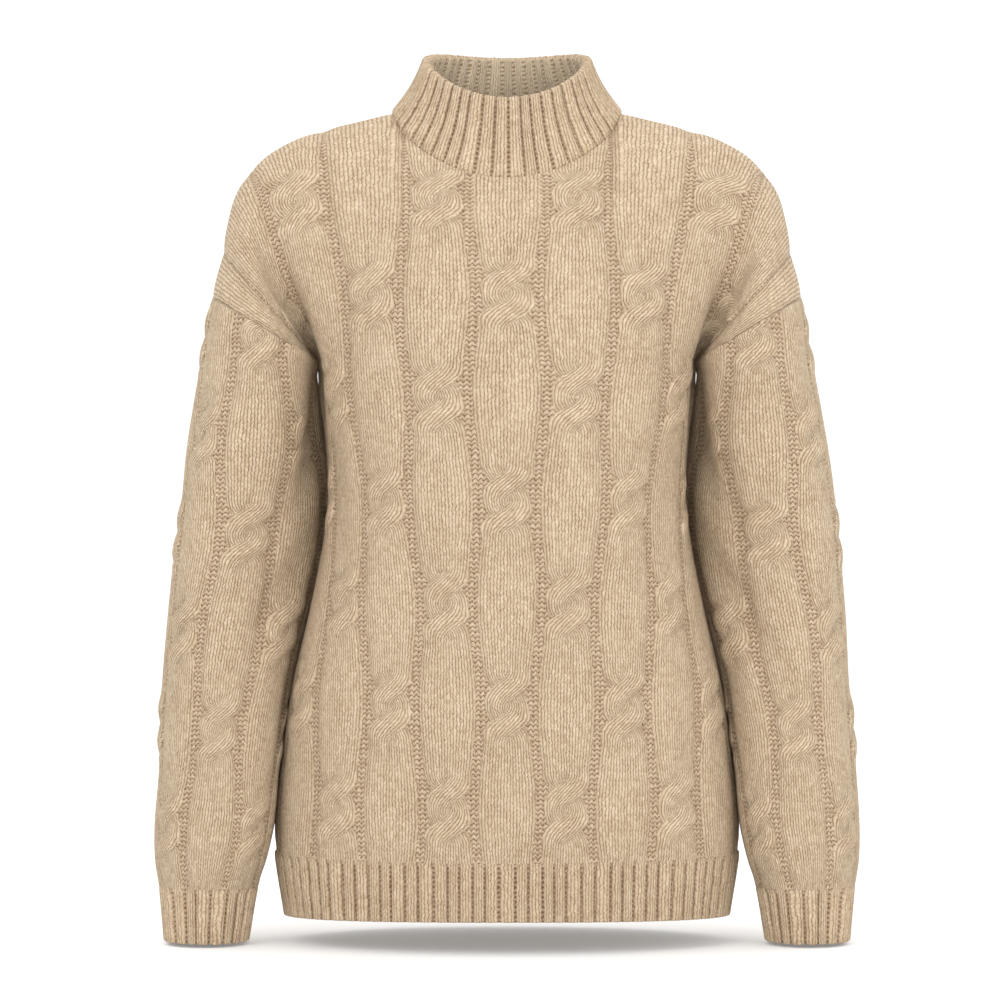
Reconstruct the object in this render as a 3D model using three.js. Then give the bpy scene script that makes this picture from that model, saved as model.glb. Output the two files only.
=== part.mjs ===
// Cable knit sweater with a ribbed funnel collar, dropped shoulders, long sleeves and ribbed hem and cuffs.
// It hangs as if worn, filled out and empty inside. Millimetres, +Z up, the front faces -Y.
// The origin is the middle of the neck base, level with the points where shoulder seam and collar meet.
import * as THREE from "three";

// Cloth
const WALL = 2.6; // plain knit between the cables
const COLLAR_WALL = 4.2; // the collar is folded double
const SEAM_GAP = 0.3;

const SEAM_RELIEF = 1.2; // how far the outside stands off the form along every seam
const SEAM_FADE = 12; // cables flatten over this length towards a seam
const FORK_SHARE = 0.3; // body and sleeve lie close over this share of the panel below the underarm
const FORK_LENGTH = 240; // and over this length of the sleeve

// Cables: wide columns of plain knit, each crossed twice in a row, half a repeat apart from its neighbours
const CABLE = { height: 4, cross: 2.2, channel: 0.17, waist: 0.08, crossLength: 58, strand: 0.62, floor: 0.3 };
const BODY_CABLES = { period: 155, first: 117.5, last: 560 };
const SLEEVE_CABLES = { period: 150, first: 122, last: 500 };
const BETWEEN_CROSSINGS = 0.25; // share of the repeat at which a column is plain
// Points across a column, from its middle: the furrow and the two crests
const FURROW_SAMPLE = 0.5;
const CREST_SAMPLE = 0.36;
// Beside the seams the furrows stop waving and the relief dies away, in columns from the panel's or sleeve's middle
const BODY_WAVE_END = 4;
const SLEEVE_WAVE_END = 3.4;
const BESIDE_SLEEVE = { end: 4.8, fade: 1.4, seamColumn: 4.7 }; // where body and sleeve lie close
const ABOVE_UNDERARM = { from: 0.4, fade: 0.3 }; // higher up, only the seam itself is plain
const BESIDE_COLLAR = { from: 0.9, fade: 0.3 };
const UNDERARM_LINE = { end: 3.9, fade: 0.8, forkColumn: 2.6 };
const FOLD_FADE = 0.5;
const SLEEVE_FOLD_FADE = 30; // millimetres from the armhole

// Body levels
const HEM_Z = -615;
const SIDE_DROP = 5; // the hem hangs this much lower at the side seams
const HEM_TOP_Z = -571;
const UNDERARM_Z = -189.5;
const PANEL_EDGE = 5; // a panel reaches five cable columns each way from its middle
const NECK_EDGE = 1.67; // columns from the middle to the collar's side point
const SECTION_POWER = 0.93; // under 1, so that the body's section is a little squarer than an ellipse

// How the cloth turns over the shoulder: arc in degrees at the middle and more of it outside the collar, and the
// columns over which the shoulder line, the sleeve's roundness and its bulge take over
const SHOULDER = { arch: 48, moreArch: 42, ridge: 0.8, armFrom: 3.4, armFade: 1.6, bulgeFrom: 2.2, bulgeFade: 2.8 };
const NECK_SLOPE = { level: 49, swing: 3, dip: -19 }; // of the body beside the collar, in degrees
const UNDERARM_TILT = 3.4; // at the underarm the cloth faces down into the fork between body and sleeve

// Outside form of the body at each level, half widths and depths, and how wide a cable column is at the front
const TORSO = [
  { z: -615, halfWidth: 171, front: 107, back: 99, pitch: 44 },
  { z: -571, halfWidth: 178.5, front: 112, back: 103, pitch: 44 },
  { z: -545, halfWidth: 179.5, front: 114, back: 104, pitch: 44 },
  { z: -510, halfWidth: 176, front: 113, back: 103, pitch: 44.5 },
  { z: -442, halfWidth: 166, front: 111, back: 98, pitch: 45 },
  { z: -384, halfWidth: 152.5, front: 110, back: 91, pitch: 46 },
  { z: -330, halfWidth: 142, front: 111, back: 87, pitch: 48 },
  { z: -290, halfWidth: 138.5, front: 114, back: 87, pitch: 49.5 },
  { z: -240, halfWidth: 142, front: 119, back: 92, pitch: 52 },
  { z: -189.5, halfWidth: 147.5, front: 117, back: 96, pitch: 54.5 },
];

// The shoulder line from the collar's side point to the top of the dropped armhole
const RIDGE = [
  { column: 1.67, x: 89, z: 0 },
  { column: 2, x: 112, z: -5.7 },
  { column: 2.5, x: 142, z: -12.5 },
  { column: 2.85, x: 163, z: -20 },
  { column: 3.2, x: 184, z: -31.5 },
  { column: 3.5, x: 199.5, z: -45 },
  { column: 3.8, x: 209.5, z: -63 },
  { column: 4.2, x: 215.7, z: -88 },
  { column: 4.6, x: 221, z: -114 },
  { column: 5, x: 227, z: -141 },
];

// Collar: its seam on the body and its rim, each a loop with its own height at front, side and back
const NECK = { halfWidth: 89, halfDepth: 68.5, centreY: -6.5, front: -53, side: 0, back: -2 };
const RIM = { halfWidth: 63, halfDepth: 54, centreY: -6, front: 8, side: 43, back: 50 };
const COLLAR_WAIST = 3; // how far the collar's profile bows in between seam and rim

// Sleeve sections from the armhole down: outermost and innermost points, half depth, centre, and how far back the
// innermost point lies of the centre, so that body and sleeve nest
const SLEEVE = [
  { along: 0, outerX: 227, outerZ: -141, innerX: 147.5, innerZ: -189.5, halfDepth: 72, centreY: 0, turn: 0 },
  { along: 18, outerX: 230.4, outerZ: -159, innerX: 147.6, innerZ: -204, halfDepth: 72.5, centreY: 0, turn: 0 },
  { along: 40, outerX: 233.7, outerZ: -181, innerX: 145.5, innerZ: -222, halfDepth: 73, centreY: 4, turn: 7 },
  { along: 78, outerX: 240, outerZ: -220, innerX: 142, innerZ: -255, halfDepth: 72, centreY: 9, turn: 19 },
  { along: 127, outerX: 249, outerZ: -275, innerX: 139.8, innerZ: -294, halfDepth: 69, centreY: 11, turn: 23 },
  { along: 177, outerX: 255, outerZ: -330, innerX: 144.2, innerZ: -336, halfDepth: 66, centreY: 10, turn: 22 },
  { along: 230, outerX: 260.5, outerZ: -384, innerX: 155, innerZ: -384, halfDepth: 62, centreY: 7, turn: 16 },
  { along: 288, outerX: 265.5, outerZ: -442, innerX: 169.2, innerZ: -442, halfDepth: 58, centreY: -1, turn: 5 },
  { along: 346, outerX: 268.7, outerZ: -500, innerX: 177, innerZ: -500, halfDepth: 54, centreY: -10, turn: -8 },
  { along: 391, outerX: 271.6, outerZ: -545, innerX: 181, innerZ: -545, halfDepth: 50, centreY: -17, turn: -14 },
  { along: 421, outerX: 271, outerZ: -575, innerX: 187.5, innerZ: -575, halfDepth: 45, centreY: -20, turn: -12 },
  { along: 442, outerX: 267.6, outerZ: -596, innerX: 194.5, innerZ: -596, halfDepth: 40, centreY: -21, turn: -8 },
  { along: 483, outerX: 263, outerZ: -637, innerX: 202, innerZ: -637, halfDepth: 33, centreY: -22, turn: 0 },
];
const CUFF_TOP = 442;
const CUFF_END = 483;
const CUFF_TOP_Z = -596;
const SLEEVE_EDGE = 4; // columns from the sleeve's outer line to its underarm seam

// Largest folds, as soft troughs: place in columns and millimetres up the cloth, half sizes, lean and depth
const BODY_FOLDS = [
  { column: 3.8, up: 435, halfColumns: 0.42, halfUp: 80, lean: -0.002, depth: 9 },
  { column: 3.15, up: 420, halfColumns: 0.4, halfUp: 90, lean: -0.002, depth: -2.5 },
  { column: 4.3, up: 300, halfColumns: 0.5, halfUp: 70, lean: 0.002, depth: 3 },
];
const SLEEVE_FOLDS = [
  { column: 3.1, up: 330, halfColumns: 0.42, halfUp: 62, lean: 0.008, depth: 9 },
  { column: 2.75, up: 225, halfColumns: 0.36, halfUp: 55, lean: 0.009, depth: 8 },
  { column: -3.0, up: 300, halfColumns: 0.45, halfUp: 70, lean: -0.007, depth: 8 },
  { column: -2.6, up: 175, halfColumns: 0.4, halfUp: 50, lean: -0.008, depth: 5 },
];

// Ribbing
const RIB_HEIGHT = 2.4;
const RIB_LEAD = 3; // ribs rise to full height this far from a seam
const RIBS = { hem: 43, cuff: 22, collar: 44 };
const RIB_STEPS = 3; // points round the cloth for each rib: a furrow and two crests

// Spacing of the solids' points
const ROW_STEP = 17;
const UPPER_ROWS = 13;
const SLEEVE_ROW_STEP = 15;
const INNER_COLUMN_STEP = 2;
const INNER_ROW_STEP = 3;
const NECK_SIDE_SAMPLE = 1.61; // one more column beside the collar's side point, where the neckline turns fast
const NECK_SAMPLE_GAP = 0.12; // no other column lies nearer to the collar's side point
const EDGE_SAMPLE_GAP = 0.1; // or to the panel's edge
const SLEEVE_COLUMN_POINTS = 4;
const COLLAR_ROWS = [0.35, 0.68, 1];
const COLLAR_RIB_START = 0.07;
const SECTION_STEPS = 48;
const LENGTH_STEPS = 16;
// Normals are read this far inside a form's edges, in columns, shares of a height and millimetres
const INSET = { column: 0.02, low: 0.01, high: 0.015, along: 1, collar: 0.02 };
const TINY = 1e-6;

const WOOL = new THREE.MeshStandardMaterial({ color: 0xcdb491, roughness: 0.95, metalness: 0 });
const RIB_WOOL = new THREE.MeshStandardMaterial({ color: 0xc6ac88, roughness: 0.95, metalness: 0 });

const UP = new THREE.Vector3(0, 0, 1);
const BACKWARD = new THREE.Vector3(0, 1, 0);
const mix = (a, b, share) => a + (b - a) * share;
const clamp01 = (x) => Math.min(1, Math.max(0, x));

/** Eases from 0 to 1 as x goes from 0 to 1. */
function ease(x) {
  const s = clamp01(x);
  return s * s * (3 - 2 * s);
}

/** Reads a column of a table at a key, on a smooth curve through the rows. */
function read(table, key, column, at) {
  const rising = table[0][key] < table[table.length - 1][key] ? 1 : -1;
  const last = table.length - 1;
  if ((at - table[0][key]) * rising <= 0) return table[0][column];
  if ((at - table[last][key]) * rising >= 0) return table[last][column];
  let i = 0;
  while ((at - table[i + 1][key]) * rising > 0) i += 1;
  const slope = (a, b) => (table[b][column] - table[a][column]) / (table[b][key] - table[a][key]);
  const span = table[i + 1][key] - table[i][key];
  const here = slope(Math.max(i - 1, 0), i + 1) * span;
  const next = slope(i, Math.min(i + 2, last)) * span;
  const s = (at - table[i][key]) / span;
  const [p0, p1] = [table[i][column], table[i + 1][column]];
  const cubic = 2 * p0 - 2 * p1 + here + next;
  const square = 3 * p1 - 3 * p0 - 2 * here - next;
  return ((cubic * s + square) * s + here) * s + p0;
}

/** The point at a length along a quarter of a rounded section, from its middle (0, depth) to its side (halfWidth, 0). */
function quarterSection(halfWidth, depth, lengthAt) {
  const points = [];
  let total = 0;
  for (let i = 0; i <= SECTION_STEPS; i += 1) {
    const angle = (i / SECTION_STEPS) * (Math.PI / 2);
    const x = halfWidth * Math.sin(angle) ** SECTION_POWER;
    const y = depth * Math.max(Math.cos(angle), 0) ** SECTION_POWER;
    if (i > 0) total += Math.hypot(x - points[i - 1].x, y - points[i - 1].y);
    points.push({ total, x, y });
  }
  const wanted = lengthAt(total);
  let i = 1;
  while (i < SECTION_STEPS && points[i].total < wanted) i += 1;
  const [a, b] = [points[i - 1], points[i]];
  const share = clamp01((wanted - a.total) / (b.total - a.total));
  return [mix(a.x, b.x, share), mix(a.y, b.y, share)];
}

/** Point of the body below the underarm. facing is -1 for the front, 1 for the back; column counts from the middle. */
function torsoForm(facing, column, z) {
  const at = (name) => read(TORSO, "z", name, z);
  const depth = at(facing < 0 ? "front" : "back");
  const across = Math.abs(column);
  const lengthAt = (total) => {
    const even = at("pitch") * across;
    return even + (total - at("pitch") * PANEL_EDGE) * (across / PANEL_EDGE) ** 4;
  };
  const [x, y] = quarterSection(at("halfWidth"), depth, lengthAt);
  return new THREE.Vector3(Math.sign(column) * x, facing * y, z);
}

/** A loop round the neck. turn is 0 at the front middle, a quarter turn at the side and a half turn at the back. */
function neckLoop(loop, turn) {
  const swing = (loop.front - loop.back) / 2;
  const level = ((loop.front + loop.back) / 2 + loop.side) / 2;
  const dip = level - loop.side;
  return new THREE.Vector3(
    loop.halfWidth * Math.sin(turn),
    loop.centreY - loop.halfDepth * Math.cos(turn),
    level + swing * Math.cos(turn) + dip * Math.cos(2 * turn),
  );
}

/** Where on the neck loop a column of a panel ends. */
function neckTurn(facing, column) {
  const turn = Math.asin(THREE.MathUtils.clamp(column / NECK_EDGE, -1, 1));
  return facing < 0 ? turn : Math.PI - turn;
}

/** The top edge of a panel: neckline in the middle, shoulder line outside it. */
function panelTop(facing, column) {
  const across = Math.abs(column);
  if (across <= NECK_EDGE) return neckLoop(NECK, neckTurn(facing, column));
  const toArm = (PANEL_EDGE - across) / (PANEL_EDGE - NECK_EDGE);
  return new THREE.Vector3(
    Math.sign(column) * read(RIDGE, "column", "x", across),
    NECK.centreY * toArm,
    read(RIDGE, "column", "z", across),
  );
}

/** Plain form of a panel. up is -1 at the hem band, 0 at the underarm and 1 at the top edge. */
function panelForm(facing, column, up) {
  if (up <= 0) return torsoForm(facing, column, mix(UNDERARM_Z, HEM_TOP_Z, -up));
  const across = Math.abs(column);
  const low = torsoForm(facing, column, UNDERARM_Z);
  const top = panelTop(facing, column);
  const arch = THREE.MathUtils.degToRad(SHOULDER.arch + SHOULDER.moreArch * Math.min(1, across / NECK_EDGE) ** 4);
  const rise = Math.sin(arch * up) / Math.sin(arch);
  const drawIn = (1 - Math.cos(arch * up)) / (1 - Math.cos(arch));
  const round = (1 - Math.cos(Math.PI * up)) / 2;
  const spread = mix(drawIn, rise, ease((across - NECK_EDGE) / SHOULDER.ridge));
  const toArm = ease((across - SHOULDER.armFrom) / SHOULDER.armFade);
  const bulge = SLEEVE[0].halfDepth * ease((across - SHOULDER.bulgeFrom) / SHOULDER.bulgeFade);
  return new THREE.Vector3(
    mix(low.x, top.x, mix(spread, round, toArm)),
    mix(low.y, top.y, drawIn) + facing * bulge * Math.sin(Math.PI * up),
    mix(low.z, top.z, mix(rise, round, toArm)),
  );
}

/** Length of a panel's column from the underarm level to the top edge. */
function upperLength(facing, column) {
  let length = 0;
  for (let i = 1; i <= LENGTH_STEPS; i += 1) {
    const [from, to] = [(i - 1) / LENGTH_STEPS, i / LENGTH_STEPS];
    length += panelForm(facing, column, to).distanceTo(panelForm(facing, column, from));
  }
  return length;
}

/** Height up the cloth of a panel, from the hem band. */
function panelHeight(facing, column, up) {
  const toUnderarm = UNDERARM_Z - HEM_TOP_Z;
  return up <= 0 ? toUnderarm * (1 + up) : toUnderarm + up * upperLength(facing, column);
}

/** Plain form of a sleeve. side is 1 for +X; column is 0 outside, above 0 at the front, and 4 or -4 at the seam. */
function sleeveForm(side, column, along) {
  const at = (name) => read(SLEEVE, "along", name, along);
  const outer = new THREE.Vector3(at("outerX"), 0, at("outerZ"));
  const inner = new THREE.Vector3(at("innerX"), 0, at("innerZ"));
  const halfWidth = outer.distanceTo(inner) / 2;
  const across = Math.abs(column);
  const nearSeam = across > SLEEVE_EDGE / 2;
  const fromAxis = nearSeam ? SLEEVE_EDGE - across : across;
  const [width, depth] = quarterSection(at("halfDepth"), halfWidth, (total) => (total * fromAxis) / (SLEEVE_EDGE / 2));
  const outward = outer.clone().sub(inner).normalize();
  const point = outer.add(inner).multiplyScalar(0.5);
  point.addScaledVector(outward, nearSeam ? -depth : depth);
  const inwards = (nearSeam ? depth : -depth) / halfWidth;
  point.y = at("centreY") + at("turn") * inwards - Math.sign(column) * width;
  point.x *= side;
  return point;
}

/** Plain form of the collar, from its seam (share 0) to its rim (share 1). */
function collarForm(turn, share) {
  const point = neckLoop(NECK, turn).lerp(neckLoop(RIM, turn), share);
  const bow = COLLAR_WAIST * Math.sin(Math.PI * share);
  return point.add(new THREE.Vector3(-bow * Math.sin(turn), bow * Math.cos(turn), 0));
}

/** Depth of the soft folds at a place on the cloth. */
function foldDepth(folds, column, up) {
  return folds.reduce((sum, fold) => {
    const across = (column - fold.column - fold.lean * (up - fold.up)) / fold.halfColumns;
    const along = (up - fold.up) / fold.halfUp;
    return sum + fold.depth * Math.exp(-across * across - along * along);
  }, 0);
}

/** Half width of a raised cable column, as a share of the column, at a share of its repeat from the crossing. */
function columnHalfWidth(phase) {
  return (1 - CABLE.channel) / 2 - CABLE.waist * Math.cos(2 * Math.PI * phase);
}

/** Share of the repeat, from -0.5 to 0.5, between a height up the cloth and the nearest crossing of a column. */
function cablePhase(cables, index, up) {
  const start = cables.first + (Math.abs(index) % 2) * (cables.period / 2);
  const turns = (up - start) / cables.period;
  const nearest = Math.round(turns);
  return start + nearest * cables.period > cables.last ? BETWEEN_CROSSINGS : turns - nearest;
}

/** Height of the cable pattern. column grows to the right as seen from outside, so that every crossing leans one way. */
function cableHeight(cables, column, up) {
  const index = Math.round(column);
  const phase = cablePhase(cables, index, up);
  const half = columnHalfWidth(phase);
  const across = (column - index) / half;
  if (Math.abs(across) >= 1) return 0;
  const panel = CABLE.height * Math.sqrt(1 - across ** 4);
  const turns = clamp01(0.5 + (phase * cables.period) / CABLE.crossLength) * 2 * Math.PI;
  const lifted = Math.abs(phase) * cables.period < CABLE.crossLength / 2 ? 1 : 0;
  const strand = (place, lift) => {
    const away = (across - place) / CABLE.strand;
    return panel + lifted * CABLE.cross * (lift - away * away);
  };
  const place = -0.5 * Math.cos(turns);
  const over = strand(place, Math.sin(turns));
  const under = strand(-place, -Math.sin(turns));
  return Math.max(CABLE.floor, over, under);
}

/** Rib height at a share of one rib: a furrow, then two crests. */
function ribHeight(step) {
  return step % RIB_STEPS === 0 ? 0 : RIB_HEIGHT;
}

/** Unit normal of a form, from small steps across and along it. */
function crossOf(form, a, b) {
  const small = 0.01;
  const across = form(a + small, b).sub(form(a - small, b));
  const along = form(a, b + small).sub(form(a, b - small));
  return across.cross(along).normalize();
}

/** Outward unit normal of a form; away points roughly out of the cloth's hollow. */
function normalOf(form, a, b, away) {
  const normal = crossOf(form, a, b);
  return normal.dot(away) < 0 ? normal.negate() : normal;
}

/** Drops the part of a vector that lies along an axis, and makes it a unit vector again. */
function squareTo(vector, axis) {
  return vector.clone().addScaledVector(axis, -vector.dot(axis)).normalize();
}

/** Points and triangles of one closed solid. */
class Skin {
  constructor() {
    this.positions = [];
    this.triangles = [];
  }

  /** Adds a line of points and gives their numbers. */
  line(points) {
    return points.map((p) => this.positions.push(p.x, p.y, p.z) / 3 - 1);
  }

  /** Joins two lines of points, whose places run from 0 to 1, with triangles. */
  bridge(a, placesA, b, placesB, flipped) {
    let [i, j] = [0, 0];
    while (i < a.length - 1 || j < b.length - 1) {
      const stepA = j === b.length - 1 || (i < a.length - 1 && placesA[i + 1] <= placesB[j + 1] + 1e-9);
      const triangle = stepA ? [a[i], a[i + 1], b[j]] : [a[i], b[j + 1], b[j]];
      this.triangles.push(...(flipped ? triangle.reverse() : triangle));
      if (stepA) i += 1;
      else j += 1;
    }
  }

  /** Joins each line of a grid to the next; every line may have its own number of points. */
  grid(lines, places, flipped) {
    for (let i = 1; i < lines.length; i += 1) {
      this.bridge(lines[i - 1], places[i - 1], lines[i], places[i], flipped);
    }
  }

  mesh(name, material) {
    const geometry = new THREE.BufferGeometry();
    geometry.setAttribute("position", new THREE.Float32BufferAttribute(this.positions, 3));
    geometry.setIndex(this.triangles);
    geometry.computeVertexNormals();
    const mesh = new THREE.Mesh(geometry, material);
    mesh.name = name;
    return mesh;
  }
}

const evenly = (count) => Array.from({ length: count + 1 }, (_, i) => i / count);
const everyNth = (list, step) => list.filter((_, i) => i % step === 0 || i === list.length - 1);
const closed = (line) => [...line, line[0]];

/** The armhole seam: point, direction through the cloth and direction across the seam. turn is 0 at the underarm. */
function armholeSeam(side, facing, turn) {
  const outer = new THREE.Vector3(SLEEVE[0].outerX, 0, SLEEVE[0].outerZ);
  const inner = new THREE.Vector3(SLEEVE[0].innerX, 0, SLEEVE[0].innerZ);
  const reach = outer.clone().sub(inner).multiplyScalar(0.5);
  const downSleeve = reach.clone().normalize().cross(BACKWARD).negate();
  const through = reach
    .clone()
    .multiplyScalar(-Math.cos(turn) / reach.lengthSq())
    .addScaledVector(BACKWARD, (facing * Math.sin(turn)) / SLEEVE[0].halfDepth)
    .normalize();
  through.addScaledVector(downSleeve, UNDERARM_TILT * Math.max(0, Math.cos(turn)) ** 4).normalize();
  const tangent = reach
    .clone()
    .multiplyScalar(Math.sin(turn))
    .addScaledVector(BACKWARD, facing * SLEEVE[0].halfDepth * Math.cos(turn))
    .normalize();
  const across = tangent.cross(through).normalize();
  if (across.dot(downSleeve) < 0 || (across.x < 0 && turn < 0.1)) across.negate();
  for (const vector of [through, across]) vector.x *= side;
  return { through, across };
}

/** The collar seam: direction through the cloth and direction across the seam, towards the rim. */
function neckSeam(turn) {
  const outward = new THREE.Vector3(Math.sin(turn), -Math.cos(turn), 0);
  const collar = normalOf(collarForm, turn, 0.01, outward);
  const slope = NECK_SLOPE.level + NECK_SLOPE.swing * Math.cos(turn) + NECK_SLOPE.dip * Math.cos(2 * turn);
  const elevation = THREE.MathUtils.degToRad(slope);
  const body = outward.clone().multiplyScalar(Math.cos(elevation)).addScaledVector(UP, Math.sin(elevation));
  const through = collar.add(body).normalize();
  const tangent = neckLoop(NECK, turn + 0.01).sub(neckLoop(NECK, turn - 0.01)).normalize();
  const across = tangent.cross(through).normalize();
  return { through, across: across.z < 0 ? across.negate() : across };
}

/** Places across a panel: in each column the middle of the furrow, the two crests and the middle. */
function panelColumns() {
  const places = [-PANEL_EDGE];
  for (let index = -PANEL_EDGE; index <= PANEL_EDGE; index += 1) {
    for (const offset of [-FURROW_SAMPLE, -CREST_SAMPLE, 0, CREST_SAMPLE]) {
      const place = index + offset;
      const fromNeck = Math.abs(Math.abs(place) - NECK_EDGE);
      if (Math.abs(place) < PANEL_EDGE - EDGE_SAMPLE_GAP && fromNeck > NECK_SAMPLE_GAP) places.push(place);
    }
  }
  for (const sign of [-1, 1]) places.push(sign * NECK_EDGE, sign * NECK_SIDE_SAMPLE);
  return [...places, PANEL_EDGE].sort((a, b) => a - b);
}

/** Moves a place so that the points follow the furrows as they wave between the cables. */
function followFurrow(cables, place, up) {
  const low = Math.floor(place);
  const share = place - low;
  const index = Math.round(place);
  const shift = CABLE.waist * Math.cos(2 * Math.PI * cablePhase(cables, index, up));
  const towards = share < 0.5 ? -1 : 1;
  return place + towards * shift * (share < 0.5 ? share : 1 - share) * 2;
}

/** Front or back panel: facing is -1 or 1. */
function panel(name, facing) {
  const rowsBelow = Math.round((UNDERARM_Z - HEM_TOP_Z) / ROW_STEP);
  const levels = [
    ...evenly(rowsBelow).map((share) => share - 1),
    ...evenly(UPPER_ROWS).slice(1),
  ];
  const columns = panelColumns();

  const pointAt = (place, up, outside) => {
    const height = panelHeight(facing, place, up);
    const edge = Math.abs(place) > PANEL_EDGE - TINY;
    const top = up > 1 - TINY;
    const bottom = up < -1 + TINY;
    const waved = top || Math.abs(place) > BODY_WAVE_END ? place : followFurrow(BODY_CABLES, place, height);
    const across = Math.abs(waved);
    const form = (a, b) => panelForm(facing, a, b);
    const point = form(waved, up);
    const inside = THREE.MathUtils.clamp(waved, -PANEL_EDGE + INSET.column, PANEL_EDGE - INSET.column);
    const level = THREE.MathUtils.clamp(up, -1 + INSET.low, 1 - INSET.high);
    // Columns run to +X and heights to +Z on both panels, so that the front's normal already points outwards.
    let normal = crossOf(form, inside, level).multiplyScalar(-facing);
    const shift = new THREE.Vector3(0, (facing * SEAM_GAP) / 2, 0);
    if (edge || (top && Math.abs(place) > NECK_EDGE)) normal = squareTo(normal, BACKWARD);
    if (edge && up > -TINY) {
      const seam = armholeSeam(Math.sign(place), facing, Math.PI * Math.max(0, up));
      normal = seam.through;
      shift.addScaledVector(seam.across, -SEAM_GAP / 2);
    }
    if (top && Math.abs(place) <= NECK_EDGE) {
      const seam = neckSeam(neckTurn(facing, place));
      normal = seam.through;
      shift.addScaledVector(seam.across, -SEAM_GAP / 2);
    }
    if (bottom) {
      normal = squareTo(normal, UP);
      shift.z += SEAM_GAP / 2;
    }
    const fold = top ? 0 : foldDepth(BODY_FOLDS, across, height) * ease((PANEL_EDGE - across) / FOLD_FADE);
    let offset = -WALL - fold;
    if (outside) {
      const fromSeam = Math.min(height, up > 0 ? (1 - up) * upperLength(facing, place) : Infinity);
      const low = up < ABOVE_UNDERARM.from;
      const nearSleeve = (BESIDE_SLEEVE.end - across) / BESIDE_SLEEVE.fade;
      const nearSeam = (PANEL_EDGE - across) / ABOVE_UNDERARM.fade;
      const besideSleeve = ease(low ? nearSleeve : nearSeam);
      const nearCollar = Math.abs(across - NECK_EDGE) / BESIDE_COLLAR.fade;
      const besideCollar = up > BESIDE_COLLAR.from ? ease(nearCollar) : 1;
      const full = ease(fromSeam / SEAM_FADE) * besideSleeve * besideCollar;
      const fork = up < 0 ? clamp01(-up / FORK_SHARE) : 1;
      const seamRelief = across > BESIDE_SLEEVE.seamColumn ? SEAM_RELIEF * fork : SEAM_RELIEF;
      offset = mix(seamRelief, cableHeight(BODY_CABLES, -facing * waved, height), full) - fold;
    }
    return point.addScaledVector(normal, offset).add(shift);
  };

  const skin = new Skin();
  const sheet = (columnLists, levelList, outside) =>
    levelList.map((up, i) => skin.line(columnLists[i].map((place) => pointAt(place, up, outside))));
  const innerColumns = columns.filter((place, i) => i % INNER_COLUMN_STEP === 0 || Math.abs(place) === NECK_EDGE);
  const innerTop = columns.filter((place) => Math.abs(place) <= NECK_EDGE || innerColumns.includes(place));
  const innerLevels = levels.filter((up, i) => i % INNER_ROW_STEP === 0 || up >= 0);
  const outerPlaces = levels.map(() => columns);
  const innerPlaces = innerLevels.map((up) => (up === 1 ? innerTop : innerColumns));
  const outer = sheet(outerPlaces, levels, true);
  const inner = sheet(innerPlaces, innerLevels, false);
  const flipped = facing > 0;
  skin.grid(outer, outerPlaces, flipped);
  skin.grid(inner, innerPlaces, !flipped);
  // The rims' triangles lean as those of the sleeve and the collar do, so that the gap between them stays even.
  const rim = (outerLine, outerAt, innerLine, innerAt, turned) => {
    if (facing < 0) skin.bridge(innerLine, innerAt, outerLine, outerAt, !turned);
    else skin.bridge(outerLine, outerAt, innerLine, innerAt, turned);
  };
  const sides = (rows, i) => rows.map((row) => row.at(i));
  rim(outer[0], columns, inner[0], innerColumns, !flipped);
  rim(outer.at(-1), columns, inner.at(-1), innerTop, flipped);
  rim(sides(outer, 0), levels, sides(inner, 0), innerLevels, flipped);
  rim(sides(outer, -1), levels, sides(inner, -1), innerLevels, !flipped);
  return skin.mesh(name, WOOL);
}

/** Builds a tube's wall from its outside and inside rings, each {points, places}, top ring first. */
function tube(name, material, outerRings, innerRings, flipped) {
  const skin = new Skin();
  const lay = (rings) => rings.map((ring) => closed(skin.line(ring.points)));
  const placesOf = (rings) => rings.map((ring) => [...ring.places, 1]);
  const [outer, inner] = [lay(outerRings), lay(innerRings)];
  const [outerPlaces, innerPlaces] = [placesOf(outerRings), placesOf(innerRings)];
  skin.grid(outer, outerPlaces, flipped);
  skin.grid(inner, innerPlaces, !flipped);
  skin.bridge(inner[0], innerPlaces[0], outer[0], outerPlaces[0], flipped);
  skin.bridge(outer.at(-1), outerPlaces.at(-1), inner.at(-1), innerPlaces.at(-1), flipped);
  return skin.mesh(name, material);
}

/** Points of the armhole's ring: the same ones as the panels' edges have, from the underarm round the front. */
function armholeRing(side, outside) {
  const rows = evenly(UPPER_ROWS);
  const half = (facing, shares) =>
    shares.map((share) => {
      const seam = armholeSeam(side, facing, Math.PI * share);
      const point = panelForm(facing, side * PANEL_EDGE, share);
      point.addScaledVector(seam.through, outside ? SEAM_RELIEF : -WALL);
      return point.addScaledVector(seam.across, SEAM_GAP / 2);
    });
  const points = [...half(-1, rows), ...half(1, rows.slice(1, -1).reverse())];
  return { points, places: points.map((_, i) => i / points.length) };
}

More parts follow.
